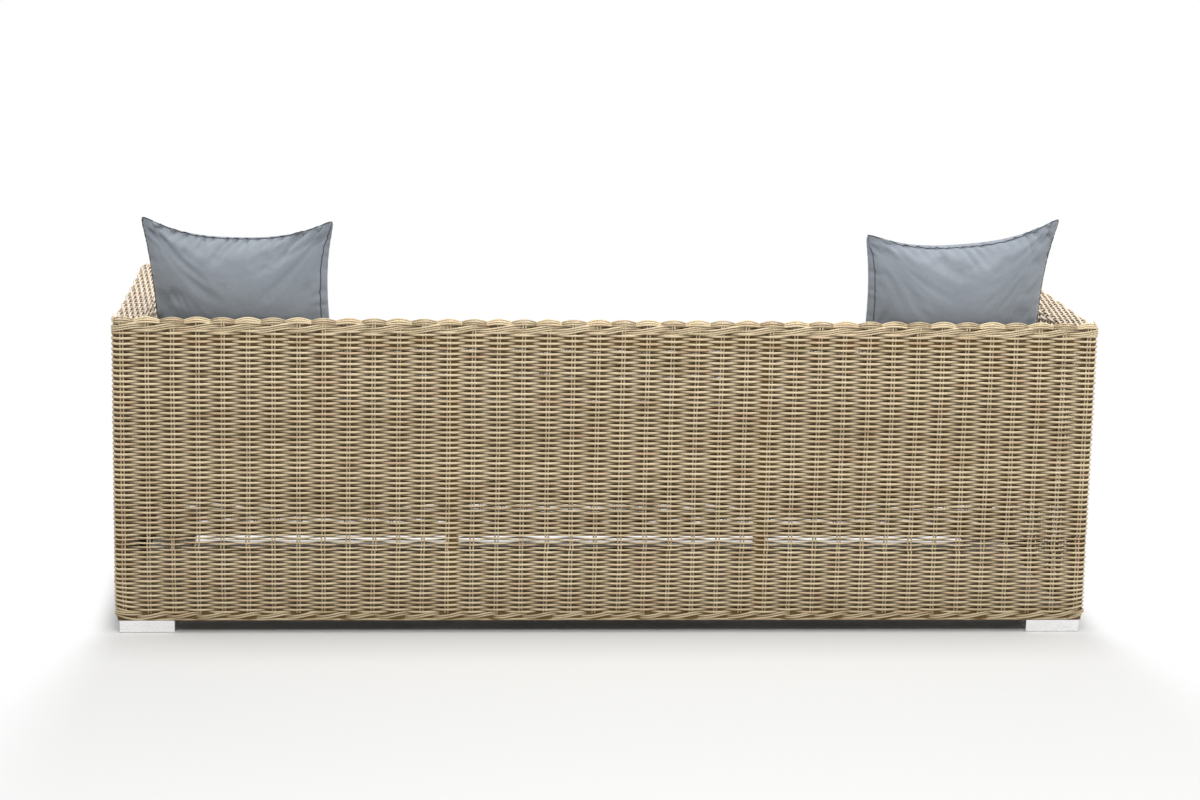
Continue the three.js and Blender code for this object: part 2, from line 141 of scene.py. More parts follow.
camera_data = bpy.data.cameras.new("camera")
camera_data.sensor_width = SENSOR_WIDTH
camera = placed("camera", camera_data)
camera_data.lens = FOCAL_PIXELS / PHOTO_WIDTH * SENSOR_WIDTH
turn = Matrix.Rotation(CAMERA_TURN, 3, "Z")
right, back = turn @ Vector((-1, 0, 0)), turn @ Vector((0, 1, 0))
upright = Vector((0, 0, math.cos(CAMERA_DOWN))) - back * math.sin(CAMERA_DOWN)
toward = back * math.cos(CAMERA_DOWN) + Vector((0, 0, math.sin(CAMERA_DOWN)))
rolled_right = right * math.cos(CAMERA_ROLL) + upright * math.sin(CAMERA_ROLL)
rolled_up = upright * math.cos(CAMERA_ROLL) - right * math.sin(CAMERA_ROLL)
turned = Matrix((rolled_right, rolled_up, toward)).transposed()
camera.matrix_world = Matrix.Translation(CAMERA_PLACE) @ turned.to_4x4()
bpy.context.scene.camera = camera
print("lens", round(camera_data.lens, 2), "mm")

# %% [markdown]
# ## Node helpers
# A node tree is long to write socket by socket. Here a Flow stands for one socket, and adding or
# multiplying it puts a Math node in the tree. So a formula for a strand's path reads as one.

# %% A short way to write node trees
class Flow:
    """One output socket of a tree. Arithmetic on it adds Math nodes."""

    def __init__(self, tree, socket):
        self.tree, self.socket = tree, socket

    def math(self, operation, *others):
        return put(self.tree, "ShaderNodeMath", [self, *others], operation=operation).out()

    def vector(self, operation, *others):
        return put(self.tree, "ShaderNodeVectorMath", [self, *others], operation=operation).out()

    def __add__(self, other):
        return self.math("ADD", other)

    def __sub__(self, other):
        return self.math("SUBTRACT", other)

    def __mul__(self, other):
        return self.math("MULTIPLY", other)

    def __truediv__(self, other):
        return self.math("DIVIDE", other)

    def scaled(self, factor):
        """This vector times a number."""
        settings = dict(operation="SCALE")
        return put(self.tree, "ShaderNodeVectorMath", {0: self, "Scale": factor}, **settings).out()


class Put:
    """A node in a tree, whose outputs come back as Flows."""

    def __init__(self, tree, node):
        self.tree, self.node = tree, node

    def out(self, name=None):
        live = [s for s in self.node.outputs if s.enabled]
        socket = live[0] if name is None else next(s for s in live if s.name == name)
        return Flow(self.tree, socket)


def feed(socket, value):
    """Gives an input socket a Flow to follow, or a fixed value."""
    if isinstance(value, Flow):
        value.tree.links.new(value.socket, socket)
    else:
        socket.default_value = value


def put(tree, kind, inputs=(), **settings):
    """Adds a node, sets it up and fills its inputs, by place or by name, with Flows or values."""
    node = tree.nodes.new(kind)
    for name, value in settings.items():
        setattr(node, name, value)
    for key, value in inputs.items() if isinstance(inputs, dict) else enumerate(inputs):
        if isinstance(key, int):
            feed(node.inputs[key], value)
        else:
            named = [s for s in node.inputs if s.name == key]
            feed(next((s for s in named if s.enabled), named[0]), value)
    return Put(tree, node)


def combine(tree, x, y, z):
    return put(tree, "ShaderNodeCombineXYZ", [x, y, z]).out()


FLOAT, INT, VECTOR = "NodeSocketFloat", "NodeSocketInt", "NodeSocketVector"
COLOR, GEOMETRY, MATERIAL = "NodeSocketColor", "NodeSocketGeometry", "NodeSocketMaterial"


def socket_kind(value):
    """The kind of socket for a default value. A kind's own name stands for no default."""
    if isinstance(value, tuple):
        return COLOR if len(value) == 4 else VECTOR
    return {int: INT, float: FLOAT}.get(type(value), value)


def new_tree(name, kind, inputs, outputs):
    """A tree or shader group with named inputs and outputs: (tree, {name: Flow}, result node)."""
    tree = bpy.data.node_groups.new(name, kind)
    source, result = tree.nodes.new("NodeGroupInput"), tree.nodes.new("NodeGroupOutput")
    for label, value in inputs.items():
        socket = tree.interface.new_socket(label, in_out="INPUT", socket_type=socket_kind(value))
        if not isinstance(value, str):
            socket.default_value = value
    for label, socket_type in outputs.items():
        tree.interface.new_socket(label, in_out="OUTPUT", socket_type=socket_type)
    flows = {label: Flow(tree, source.outputs[label]) for label in inputs}
    return tree, flows, result


print("node helpers ready")

# %% [markdown]
# ## Finishes
# Plastic rattan is sold as natural because its colour wanders. Each strand is straw, with
# stretches that go pinkish brown or greyish, and the wall darkens and lightens in bands, as one
# bundle of strand is used up and the next begun. The tone along one strand can't come from a
# place in space, because the strand beside it would then change at the same spot. So the weave
# gives every strand its own attributes: `run`, the length along it in metres, `tone`, a number
# of its own, `section`, the place round it, and `depth`, which is 1 where the strand lies on the
# face and -1 where it dives behind a stake. Where a strand dives, its colour goes over into a dark
# brown, which is painted shade for the recess behind the stake, and it is rougher there. The
# shader group reads all four, and it also paints shade that grows toward the floor.

# %% The colour of rattan strand
def colour(red, green, blue):
    """A colour written as it looks on screen, 0 to 255, as the linear values Blender wants."""
    def linear(value):
        share = value / 255
        return share / 12.92 if share <= 0.04045 else ((share + 0.055) / 1.055) ** 2.4
    return (linear(red), linear(green), linear(blue), 1)


def noise_of(tree, vector, scale, detail=2, roughness=0.5):
    inputs = {"Vector": vector, "Scale": scale, "Detail": detail, "Roughness": roughness}
    return put(tree, "ShaderNodeTexNoise", inputs).out("Fac")


def mix_colour(tree, factor, first, second):
    inputs = {"Factor": factor, "A": first, "B": second}
    return put(tree, "ShaderNodeMix", inputs, data_type="RGBA").out()


def ramp(tree, flow, low, high):
    """0 at low and under, 1 at high and over."""
    return put(tree, "ShaderNodeMapRange", {"Value": flow, "From Min": low, "From Max": high}).out("Result")


def attribute(tree, name, output="Fac"):
    return put(tree, "ShaderNodeAttribute", attribute_name=name).out(output)


def object_place(tree):
    return put(tree, "ShaderNodeTexCoord").out("Object")


# where a strand goes over into a tint: what tells strands apart, layer of the noise, how much
# finer than Patch, detail, noise at which it begins and is full, and the tint's share there
WANDERS = {
    "Blush": (37.0, 0.0, 1.0, 1, 0.52, 0.72, 0.55),
    "Stone": (53.0, 4.0, 1.0, 2, 0.5, 0.74, 0.6),
    "Dusk": (71.0, 9.0, 1.6, 2, 0.58, 0.8, 0.55),
}
DARK_BAND, BAND_HEIGHT, BAND_SHARE = 0.453, 0.2, 0.06
# painted shade, darker toward the floor: height where it begins, height where it is full, share
WALL_SHADE, HEM_SHADE = (0.62, 0.03, 0.12), (0.1, 0.03, 0.1)
GRAIN_ALONG, GRAIN_ROUND, GRAIN_SCALE, GRAIN_SHARE = 30.0, 1.6, 1.7, 0.28
WASHED_ROUGHNESS, GRAIN_ROUGHNESS, BEHIND_ROUGHNESS = 0.3, 0.16, 0.45


def build_rattan_group():
    inputs = {
        "Straw": colour(217, 200, 167),
        "Blush": colour(190, 152, 122),
        "Stone": colour(160, 145, 104),
        "Dusk": colour(108, 84, 40),
        "Painted shade": colour(74, 48, 4),
        "Patch": 9.0,
        "Painted shade share": 0.8,
    }
    outputs = {"Colour": COLOR, "Grain": FLOAT, "Rough": FLOAT}
    tree, flow, result = new_tree("rattan colour", "ShaderNodeTree", inputs, outputs)
    run, tone, depth = [attribute(tree, name) for name in ("run", "tone", "depth")]
    shade = flow["Straw"]
    for tint, (own, layer, finer, detail, begin, full, share) in WANDERS.items():
        strand = combine(tree, run, tone * own, layer)
        amount = ramp(tree, noise_of(tree, strand, flow["Patch"] * finer, detail), begin, full)
        shade = mix_colour(tree, amount * share, shade, flow[tint])
    height = put(tree, "ShaderNodeSeparateXYZ", [object_place(tree)]).out("Z")
    band = ((height - DARK_BAND) * (math.tau / BAND_HEIGHT)).math("COSINE") * BAND_SHARE + BAND_SHARE
    # low_down is painted shade that grows toward the floor; the bands are the strand's own tone
    low_down = [ramp(tree, height, begin, full) * share for begin, full, share in (WALL_SHADE, HEM_SHADE)]
    shade = mix_colour(tree, band + (low_down[0] + low_down[1]), shade, flow["Dusk"])
    long_grain = combine(tree, run * GRAIN_ALONG, 0.0, tone * 19.0)
    round_grain = attribute(tree, "section", "Vector").scaled(GRAIN_ROUND)
    grain = noise_of(tree, long_grain.vector("ADD", round_grain), GRAIN_SCALE, 3)
    shade = mix_colour(tree, ramp(tree, grain, 0.45, 0.8) * GRAIN_SHARE, shade, flow["Dusk"])
    # painted shade: where a strand dives behind a stake its colour goes over into a dark brown
    shade = mix_colour(tree, ramp(tree, depth, 0.5, -0.9) * flow["Painted shade share"], shade, flow["Painted shade"])
    rough = ramp(tree, grain, 0.2, 0.8) * GRAIN_ROUGHNESS + ramp(tree, depth, 0.2, -0.6) * BEHIND_ROUGHNESS
    for label, value in (("Colour", shade), ("Grain", grain), ("Rough", rough + WASHED_ROUGHNESS)):
        feed(result.inputs[label], value)
    return tree


rattan_group = build_rattan_group()
print("rattan colour has", len(rattan_group.nodes), "nodes")

# %% [markdown]
# A finish is a Principled BSDF whose fixed values sit on its own sockets. What changes over the
# surface comes from a group and goes into colour, roughness and bump. The tops of the arms face
# the lamp overhead and catch a pale reflection, so the same group is placed a second time with
# paler colours for them: painted light and painted reflection.

# %% Rattan finish
def new_finish(name, roughness=0.5, **fixed):
    """A material with its Principled BSDF, and the numbers that are the same all over."""
    material = bpy.data.materials.new(name)
    material.use_nodes = True
    shader = material.node_tree.nodes["Principled BSDF"]
    shader.inputs["Roughness"].default_value = roughness
    for label, value in fixed.items():
        shader.inputs[label.replace("_", " ")].default_value = value
    return material, material.node_tree, shader


def bump_into(tree, shader, height, strength, distance):
    bump = put(tree, "ShaderNodeBump", {"Height": height, "Strength": strength, "Distance": distance})
    feed(shader.inputs["Normal"], bump.out("Normal"))


def build_rattan(name, **tints):
    material, tree, shader = new_finish(name, Specular_IOR_Level=0.32)
    look = put(tree, "ShaderNodeGroup", tints, node_tree=rattan_group)
    feed(shader.inputs["Base Color"], look.out("Colour"))
    feed(shader.inputs["Roughness"], look.out("Rough"))
    bump_into(tree, shader, look.out("Grain"), 0.35, 0.0004)
    return material


rattan = build_rattan("rattan_strand")
# paler tints for the arm tops: painted light and painted reflection
painted_light_tints = dict(Straw=colour(208, 193, 172), Blush=colour(206, 182, 160), Stone=colour(188, 180, 160),
                Dusk=colour(140, 122, 98))
painted_light_rattan = build_rattan("rattan_strand_painted_light", **painted_light_tints)
print("finishes", rattan.name, painted_light_rattan.name)

# %% [markdown]
# ## Weave
# The walls are plain weave: row after row, a strand goes over a stake pair and behind the next,
# and the row above does the opposite. It could be modelled as one bay and repeated by an array,
# but the rows turn round the corners of the sofa without a break. So a Geometry Nodes tree lays
# the pattern out flat first, in three numbers: along the path, up the wall and out of it. Then it
# lays that flat pattern onto the path. A light noise in the flat numbers makes it hand woven.
#
# The lower corners of the sofa are rounded in the weaving: the rows and the hem climb there, by
# less and less further up. The group adds that climb to whatever it lays.

# %% The group that lays flat places on a path
CORNER_LIFT = 0.012
CORNER_REACH = 0.045
LIFT_TOP = 0.12

hem_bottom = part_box("back_hem")[0].z


def build_lay_group():
    inputs = {"Path": GEOMETRY, "Rise": (0, 0, 1), "Along": 0.0, "Up": 0.0, "Out": 0.0}
    tree, flow, result = new_tree("lay on path", "GeometryNodeTree", inputs, {"Position": VECTOR})
    sample = put(tree, "GeometryNodeSampleCurve", {"Curves": flow["Path"], "Length": flow["Along"]},
                 mode="LENGTH", use_all_curves=False)
    outward = sample.out("Tangent").vector("CROSS_PRODUCT", flow["Rise"]).vector("NORMALIZE")
    place = sample.out("Position").vector("ADD", outward.scaled(flow["Out"]))
    place = place.vector("ADD", flow["Rise"].scaled(flow["Up"]))
    part = put(tree, "ShaderNodeSeparateXYZ", [place])
    across = part.out("X").math("ABSOLUTE") + part.out("Y").math("ABSOLUTE")
    near_corner = (across - (side_x + rear_y - CORNER_REACH)).math("MAXIMUM", 0.0) / CORNER_REACH
    low_down = ((part.out("Z") - LIFT_TOP) / (hem_bottom - LIFT_TOP)).math("MAXIMUM", 0.0)
    lift = near_corner * near_corner * low_down * CORNER_LIFT
    feed(result.inputs["Position"], place.vector("ADD", combine(tree, 0.0, 0.0, lift)))
    return tree


lay_group = build_lay_group()
ROUND_STEPS = 6


def round_path(tree, path, radius):
    """The path as a curve with its corners rounded."""
    line = put(tree, "GeometryNodeMeshToCurve", {"Mesh": path}).out("Curve")
    inputs = {"Curve": line, "Radius": radius, "Count": ROUND_STEPS, "Limit Radius": True}
    return put(tree, "GeometryNodeFilletCurve", inputs, mode="POLY").out("Curve")


def lay(tree, path, rise, along, up, out):
    inputs = {"Path": path, "Rise": rise, "Along": along, "Up": up, "Out": out}
    return put(tree, "GeometryNodeGroup", inputs, node_tree=lay_group).out("Position")


def whole(flow):
    return flow.math("FLOOR")


def uneven(tree, x, y, z, scale):
    """Smooth noise from -1 to 1 at a place in the flat pattern."""
    return noise_of(tree, combine(tree, x, y, z), scale, 1) * 4.0 - 2.0


def scrambled(number, seed):
    """A value from 0 to 1 that is another one for each whole number."""
    return ((number * 12.9898 + seed).math("SINE") * 437.5).math("FRACT")


print("path group ready")

# %% [markdown]
# Both trees below end alike. Points are joined into round strands that carry their attributes,
# and the strands are made real, smooth and given their finish.

# %% From points to strands
def named(tree, geometry, name, value, kind="FLOAT"):
    inputs = {"Geometry": geometry, "Name": name, "Value": value}
    settings = dict(data_type=kind, domain="POINT")
    return put(tree, "GeometryNodeStoreNamedAttribute", inputs, **settings).out("Geometry")


def strands_from(tree, count, spot, group, order, radius, sides, run, tone, depth=1.0):
    """Points at their spots joined into strands: round and closed at both ends."""
    points = put(tree, "GeometryNodePoints", {"Count": count}).out()
    points = put(tree, "GeometryNodeSetPosition", {"Geometry": points, "Position": spot}).out()
    for name, value in (("run", run), ("tone", tone), ("depth", depth)):
        points = named(tree, points, name, value)
    inputs = {"Points": points, "Curve Group ID": group, "Weight": order}
    curves = put(tree, "GeometryNodePointsToCurves", inputs).out("Curves")
    inputs = {"Resolution": sides, "Radius": radius}
    circle = put(tree, "GeometryNodeCurvePrimitiveCircle", inputs).out("Curve")
    outline = put(tree, "GeometryNodeInputPosition").out("Position")
    circle = named(tree, circle, "section", outline.vector("NORMALIZE"), "FLOAT_VECTOR")
    inputs = {"Curve": curves, "Profile Curve": circle, "Fill Caps": True}
    return put(tree, "GeometryNodeCurveToMesh", inputs).out("Mesh")


def finished(tree, flow, result, geometry):
    """The tree with its output connected: real, smooth and with the finish on it."""
    solid = put(tree, "GeometryNodeRealizeInstances", {"Geometry": geometry}).out()
    solid = put(tree, "GeometryNodeSetShadeSmooth", {"Geometry": solid}).out()
    solid = put(tree, "GeometryNodeSetMaterial", {"Geometry": solid, "Material": flow["Material"]}).out()
    feed(result.inputs["Geometry"], solid)
    return tree


print("strand helpers ready")

# %% [markdown]
# The weave tree. Stakes stand at whole numbers of the stake pitch from Origin. A row's place out
# of the wall is a cosine that has its crest at one stake and its trough at the next. The last
# switch turns the pattern by a quarter: on top of an arm the rows run straight and the stakes
# bend over the rounded edges, so there the stakes follow the path.

# %% The weave tree
UNEVENNESS = 0.0004
ON_PATH = {
    "Path": GEOMETRY,
    "Corner radius": CORNER,
    "Rise": (0, 0, 1),
    "Origin": 0.0,
    "Stake pitch": STAKE_PITCH,
    "First step": 0,
    "Last step": 40,
    "Unevenness": UNEVENNESS,
    "Seed": 1,
    "Material": MATERIAL,
}


def build_weave_tree():
    inputs = {
        **ON_PATH,
        "Steps": 4,
        "First row": 0,
        "Rows": 10,
        "Row pitch": LOW_ROW_PITCH,
        "Row growth": 0.0,
        "Row start": 0.0,
        "Pairing": 0.0,
        "Stake low": 0.0,
        "Stake high": 0.1,
        "Stake steps": 12,
        "Wave": WAVE,
        "Strand radius": STRAND_RADIUS,
        "Stake radius": STAKE_RADIUS,
        "Stake gap": STAKE_GAP,
        "Stakes on path": 0,
    }
    tree, flow, result = new_tree("weave", "GeometryNodeTree", inputs, {"Geometry": GEOMETRY})
    path = round_path(tree, flow["Path"], flow["Corner radius"])
    index = put(tree, "GeometryNodeInputIndex").out("Index")
    seed = flow["Seed"] * 3.7
    loose = flow["Unevenness"]

    def place(along, up, out):
        """A flat place with the hand's unevenness, laid on the path either way round."""
        along = along + uneven(tree, along, up, seed, 5.0) * loose * 2.5
        turned = flow["Stakes on path"]
        on_path = along + (up - along) * turned
        on_rise = up + (along - up) * turned
        return lay(tree, path, flow["Rise"], on_path, on_rise, out)

    # the rows
    row_points = flow["Last step"] - flow["First step"] + 1.0
    row = whole(index / row_points)
    step = index - row * row_points
    stake = (step + flow["First step"]) / flow["Steps"]
    number = row + flow["First row"]
    along = flow["Origin"] + stake * flow["Stake pitch"]
    up = flow["Row start"] + row * flow["Row pitch"] + row * row * flow["Row growth"] / 2.0
    up = up + (number * math.pi).math("COSINE") * flow["Pairing"]
    up = up + uneven(tree, along * 6.0, number * 5.3, seed, 1.0) * loose
    swing = ((stake + number) * math.pi).math("COSINE")
    out = swing * flow["Wave"] + uneven(tree, along * 5.0, number * 7.9, seed + 20.0, 1.0) * loose * 0.8
    rows = strands_from(tree, flow["Rows"] * row_points, place(along, up, out), row, step,
                        flow["Strand radius"], 6, along, scrambled(number, seed), swing)

    # the stakes, two strands each
    first = (flow["First step"] / flow["Steps"]).math("CEIL")
    last = whole((flow["Last step"] - 0.5) / flow["Steps"])
    stake_points = flow["Stake steps"] + 1.0
    which = whole(index / stake_points)
    level = index - which * stake_points
    pair = whole(which / 2.0)
    half = which - pair * 2.0 - 0.5
    post = flow["Origin"] + (first + pair) * flow["Stake pitch"]
    rise = flow["Stake low"] + (flow["Stake high"] - flow["Stake low"]) * level / flow["Stake steps"]
    sway = uneven(tree, post * 9.0, rise * 22.0, which * 3.1, 1.0) * loose * 0.8
    spot = place(post + half * flow["Stake gap"] + sway, rise, sway * 0.5)
    tone = ((which + first * 2.0) * 78.233).math("SINE").math("FRACT")
    stakes = strands_from(tree, (last - first + 1.0) * 2.0 * stake_points, spot, which, level,
                          flow["Stake radius"], 5, rise, tone)

    both = put(tree, "GeometryNodeJoinGeometry")
    for part in (rows, stakes):
        feed(both.node.inputs["Geometry"], part)
    return finished(tree, flow, result, both.out())


weave_tree = build_weave_tree()
print("weave tree has", len(weave_tree.nodes), "nodes")

# %% [markdown]
# The edges of the sofa are finished with braids: bundles of strands that pass over each other in
# turn. One tree makes all of them. A bundle's place across the braid is a circle that is drawn
# out along the path, and each bundle is a step further round it. With a wide swing up and out it
# is a rope. With a lift that comes and goes with the swing out it is the row of arcs that crowns
# the back, and the strands of an arc may fan out where it stands proud.

# %% The braid tree
def build_braid_tree():
    inputs = {
        **ON_PATH,
        "Steps": 8,
        "Bundles": 3,
        "Members": 2,
        "Period": 3.0,
        "Turn": 0.0,
        "Up": 0.0,
        "Out": 0.0,
        "Swing out": 0.004,
        "Swing up": 0.003,
        "Lift": 0.0,
        "Spread up": 0.0036,
        "Spread out": 0.0,
        "Fan": 0.0,
        "Strand radius": 0.0019,
        "Shade behind": 1.0,
        "Shade all over": 0.0,
    }
    tree, flow, result = new_tree("braid", "GeometryNodeTree", inputs, {"Geometry": GEOMETRY})
    path = round_path(tree, flow["Path"], flow["Corner radius"])
    index = put(tree, "GeometryNodeInputIndex").out("Index")
    count = flow["Last step"] - flow["First step"] + 1.0
    strand = whole(index / count)
    step = index - strand * count
    bundle = whole(strand / flow["Members"])
    member = strand - bundle * flow["Members"] - (flow["Members"] - 1.0) / 2.0
    stake = (step + flow["First step"]) / flow["Steps"]
    angle = (stake / flow["Period"] - bundle / flow["Bundles"] + flow["Turn"]) * math.tau
    front, side = angle.math("COSINE"), angle.math("SINE")
    along = flow["Origin"] + stake * flow["Stake pitch"]
    seed = flow["Seed"] * 2.3
    fanned = member * ((front - 1.0) * flow["Fan"] / 2.0 + 1.0)
    up = flow["Up"] + front * flow["Lift"] + side * flow["Swing up"] + fanned * flow["Spread up"]
    up = up + uneven(tree, along * 7.0, strand * 5.3, seed, 1.0) * flow["Unevenness"]
    out = flow["Out"] + front * flow["Swing out"] + fanned * flow["Spread out"]
    out = out + uneven(tree, along * 7.0, strand * 7.9, seed + 20.0, 1.0) * flow["Unevenness"]
    # how much painted shade a braid strand gets: where it goes behind, and all over
    depth = (front - 1.0) * flow["Shade behind"] + 1.0 - flow["Shade all over"]
    strands = strands_from(tree, flow["Bundles"] * flow["Members"] * count,
                           lay(tree, path, flow["Rise"], along, up, out), strand, step,
                           flow["Strand radius"], 6, along, scrambled(strand + 1.0, seed), depth)
    return finished(tree, flow, result, strands)


braid_tree = build_braid_tree()
print("braid tree has", len(braid_tree.nodes), "nodes")


# %% [markdown]
# A tree runs on a small object that holds only the corners of the path. Its inputs are set by the
# identifiers of the sockets, and the evaluated result is copied out as a plain mesh. Strands that
# were joined can come out on an empty material slot, so all faces are put on the finish again.

# %% Run a tree on a path and keep the mesh
def grow(name, tree, corners, finish=rattan, **values):
    """The mesh that a tree makes on a path, with its inputs given by name."""
    mesh = bpy.data.meshes.new(name)
    mesh.from_pydata([Vector(c) for c in corners], [(i, i + 1) for i in range(len(corners) - 1)], [])
    carrier = placed(name, mesh)
    modifier = carrier.modifiers.new(name, "NODES")
    modifier.node_group = tree
    sockets = {s.name: s.identifier for s in tree.interface.items_tree if s.in_out == "INPUT"}
    for label, value in values.items():
        modifier[sockets[label.replace("_", " ")]] = value
    modifier[sockets["Material"]] = finish
    made = harvest(carrier)
    dress(made, finish)
    made.polygons.foreach_set("material_index", [0] * len(made.polygons))
    return made


def as_piece(name, meshes, *replaced, body="body", slot="strand"):
    """One object from one or more meshes, riding on a body. It stands for its own or other nodes."""
    whole_mesh = bmesh.new()
    for mesh in meshes:
        whole_mesh.from_mesh(mesh)
    joined = bpy.data.meshes.new(name)
    whole_mesh.to_mesh(joined)
    whole_mesh.free()
    for material in meshes[0].materials:
        joined.materials.append(material)
    for mesh in meshes:
        bpy.data.meshes.remove(mesh)
    piece = placed(name + "_woven" if name in nodes else name, joined)
    replaced = replaced or (name,)
    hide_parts(*replaced)
    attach(piece, body)
    print(name, sum(len(f.vertices) - 2 for f in joined.polygons), "triangles")
    return piece


# %% [markdown]
# ## The walls
# One path runs down the left arm's inner face, round its front, along the side, over the back,
# round the right arm and along the inner face of the back. Every wall above the seat is a stretch
# of it, so outside the rows of two neighbours meet end to end. Forty stake pairs stand across
# the back.

# %% The path of the walls and where each wall begins
CORNER_LOSS = (2 - math.pi / 2) * CORNER
BACK_STAKES = 40

wall_path = [
    (inner_x, inner_y), (inner_x, front_y), (side_x, front_y), (side_x, rear_y),
    (-side_x, rear_y), (-side_x, front_y), (-inner_x, front_y), (-inner_x, inner_y), (inner_x, inner_y),
]
wall_path = [(x, y, 0) for x, y in wall_path]
legs = [(Vector(b) - Vector(a)).length for a, b in zip(wall_path, wall_path[1:])]
middle_of_back = sum(legs[:3]) + legs[3] / 2 - 3 * CORNER_LOSS
first_stake = middle_of_back - (BACK_STAKES - 1) / 2 * STAKE_PITCH
inner_corner = (sum(legs[:7]) - 6.5 * CORNER_LOSS - first_stake) / STAKE_PITCH
path_end = (sum(legs) - 7 * CORNER_LOSS - first_stake) / STAKE_PITCH
path_start = -first_stake / STAKE_PITCH
side_end = 0.5
front_stake = 15
front_turn = 16.5
print("stakes from", round(path_start, 2), "to", round(path_end, 2),
      "- inner corner at", round(inner_corner, 2))


def wall(name, start, end, first_row=0, rows=None, steps=4, **more):
    """The weave between two places, counted in stakes along the wall path."""
    rows = row_count - first_row if rows is None else rows
    values = {
        "Origin": first_stake, "Steps": steps,
        "First_step": round(start * steps), "Last_step": round(end * steps),
        "First_row": first_row, "Rows": rows, "Row_start": row_z(first_row),
        "Row_pitch": LOW_ROW_PITCH + row_growth * first_row, "Row_growth": row_growth,
        "Stake_low": row_z(first_row - 0.5), "Stake_high": row_z(first_row + rows - 0.5),
        "Stake_steps": max(4, rows // 3),
    }
    values.update(more)
    return grow(name, weave_tree, values.pop("path", wall_path), **values)


# %% [markdown]
# Light comes through the back in one low band, where a line from above passes under the apron on
# the far side. The strand there is a little thinner than elsewhere, and the rows have slid
# together unevenly, mostly in pairs, so gaps open between them here and there.

# %% Outer face of the back, in two pieces of half the rows
STAKE_TOP = 0.673
SLACK_ROWS = (26, 32)
THIN_STRAND = 0.0006
PAIRING = 0.0005
LOOSE = 0.0016
FULL_STRAND = 0.0027

half_rows = row_count // 2
last_back = BACK_STAKES - 1 + side_end
slack = dict(Strand_radius=STRAND_RADIUS - THIN_STRAND, Pairing=PAIRING, Unevenness=LOOSE)
bands = {(0, SLACK_ROWS[0]): {}, SLACK_ROWS: slack, (SLACK_ROWS[1], half_rows): {}}
lower = [wall("back_outer_weave_lower", -side_end, last_back, low, high - low, 6, **loosened)
         for (low, high), loosened in bands.items()]
as_piece("back_outer_weave_lower", lower, "back_outer_weave")
upper = wall("back_outer_weave_upper", -side_end, last_back, half_rows, row_count - half_rows + 2, 6,
             Stake_high=STAKE_TOP, Strand_radius=FULL_STRAND)
as_piece("back_outer_weave_upper", [upper], "back_outer_weave")

# %% Outer and inner faces of the arms, and their fronts
FRONT_TOP_ROWS = 3

stake_places = {"left": lambda place: -place, "right": lambda place: BACK_STAKES - 1 + place}
inner_ends = {"left": -path_start, "right": inner_corner - BACK_STAKES + 1}
for side, at in stake_places.items():
    def stretch(start, end, *more, at=at):
        low, high = sorted((at(start), at(end)))
        return wall("arm", low, high, *more)

    as_piece(f"arm_outer_weave_{side}", [stretch(side_end, front_stake)])
    as_piece(f"arm_front_weave_{side}", [
        stretch(front_stake, front_turn, seat_row),
        stretch(front_stake, front_stake + 1, 0, seat_row),
        stretch(front_stake + 0.25, front_turn, row_count, FRONT_TOP_ROWS),
    ])
    as_piece(f"arm_inner_weave_{side}", [stretch(front_turn, inner_ends[side], seat_row)])

# %% [markdown]
# The inner face of the back is beaten tighter, with more rows to the same height, so that hardly
# any daylight comes through above the seat.

# %% Inner face of the back
TIGHT_PITCH = 0.0047
TIGHT_STRAND = 0.0026

inner_foot, inner_top = row_z(seat_row - 0.5), row_z(row_count - 0.5)
tight_rows = round((inner_top - inner_foot) / TIGHT_PITCH)
tight_pitch = (inner_top - inner_foot) / tight_rows
inner = wall("back_inner_weave", inner_corner, path_end, seat_row, Rows=tight_rows, Row_pitch=tight_pitch,
             Row_growth=0.0, Row_start=inner_foot + tight_pitch / 2, Strand_radius=TIGHT_STRAND)
print("inner face of the back has", tight_rows, "rows")
as_piece("back_inner_weave", [inner])

# %% [markdown]
# The apron closes the front under the seat. Its first and last stake are the last ones of the two
# arm fronts, and the rest stand evenly between them, so its rows run on from theirs.

# %% Front apron
APRON_BAYS = 37

last_front_stake = inner_x + first_stake - (front_stake + 1) * STAKE_PITCH - legs[0] + CORNER_LOSS
apron_pitch = 2 * last_front_stake / APRON_BAYS
apron_path = [(-last_front_stake, front_y, 0), (last_front_stake, front_y, 0)]
apron = wall("front_apron_weave", 1, APRON_BAYS + 1, 0, seat_row, path=apron_path,
             Origin=-apron_pitch, Stake_pitch=apron_pitch)
as_piece("front_apron_weave", [apron])

# %% [markdown]
# The top of an arm is woven the other way round. Its rows run from front to back and its stakes
# bend over both rounded edges, each one between the last stakes of the two faces. A braid runs
# over the arch at its front.

# %% Arm tops
ARM_TOP_STEPS = 8
ARM_TOP_ROWS = 19
FRONT_MARGIN, BACK_OVERLAP = 0.014, 0.01
BRAID_STAKE = 0.02
BRAID_PROUD = 0.0008

arm_top_low, arm_top_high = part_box("arm_top_weave_left")
top_z = arm_top_high.z - HALF_WEAVE
arch_foot = arm_top_low.z
arch_length = 2 * (top_z - arch_foot) + side_x - inner_x - 2 * CORNER_LOSS
zero_stake_y = front_y + first_stake - legs[0] - legs[1] + 2 * CORNER_LOSS


def arm_top_step(y):
    """The step of the arm tops' weave that is nearest to a place along the arm."""
    return round((y - zero_stake_y) / STAKE_PITCH * ARM_TOP_STEPS)


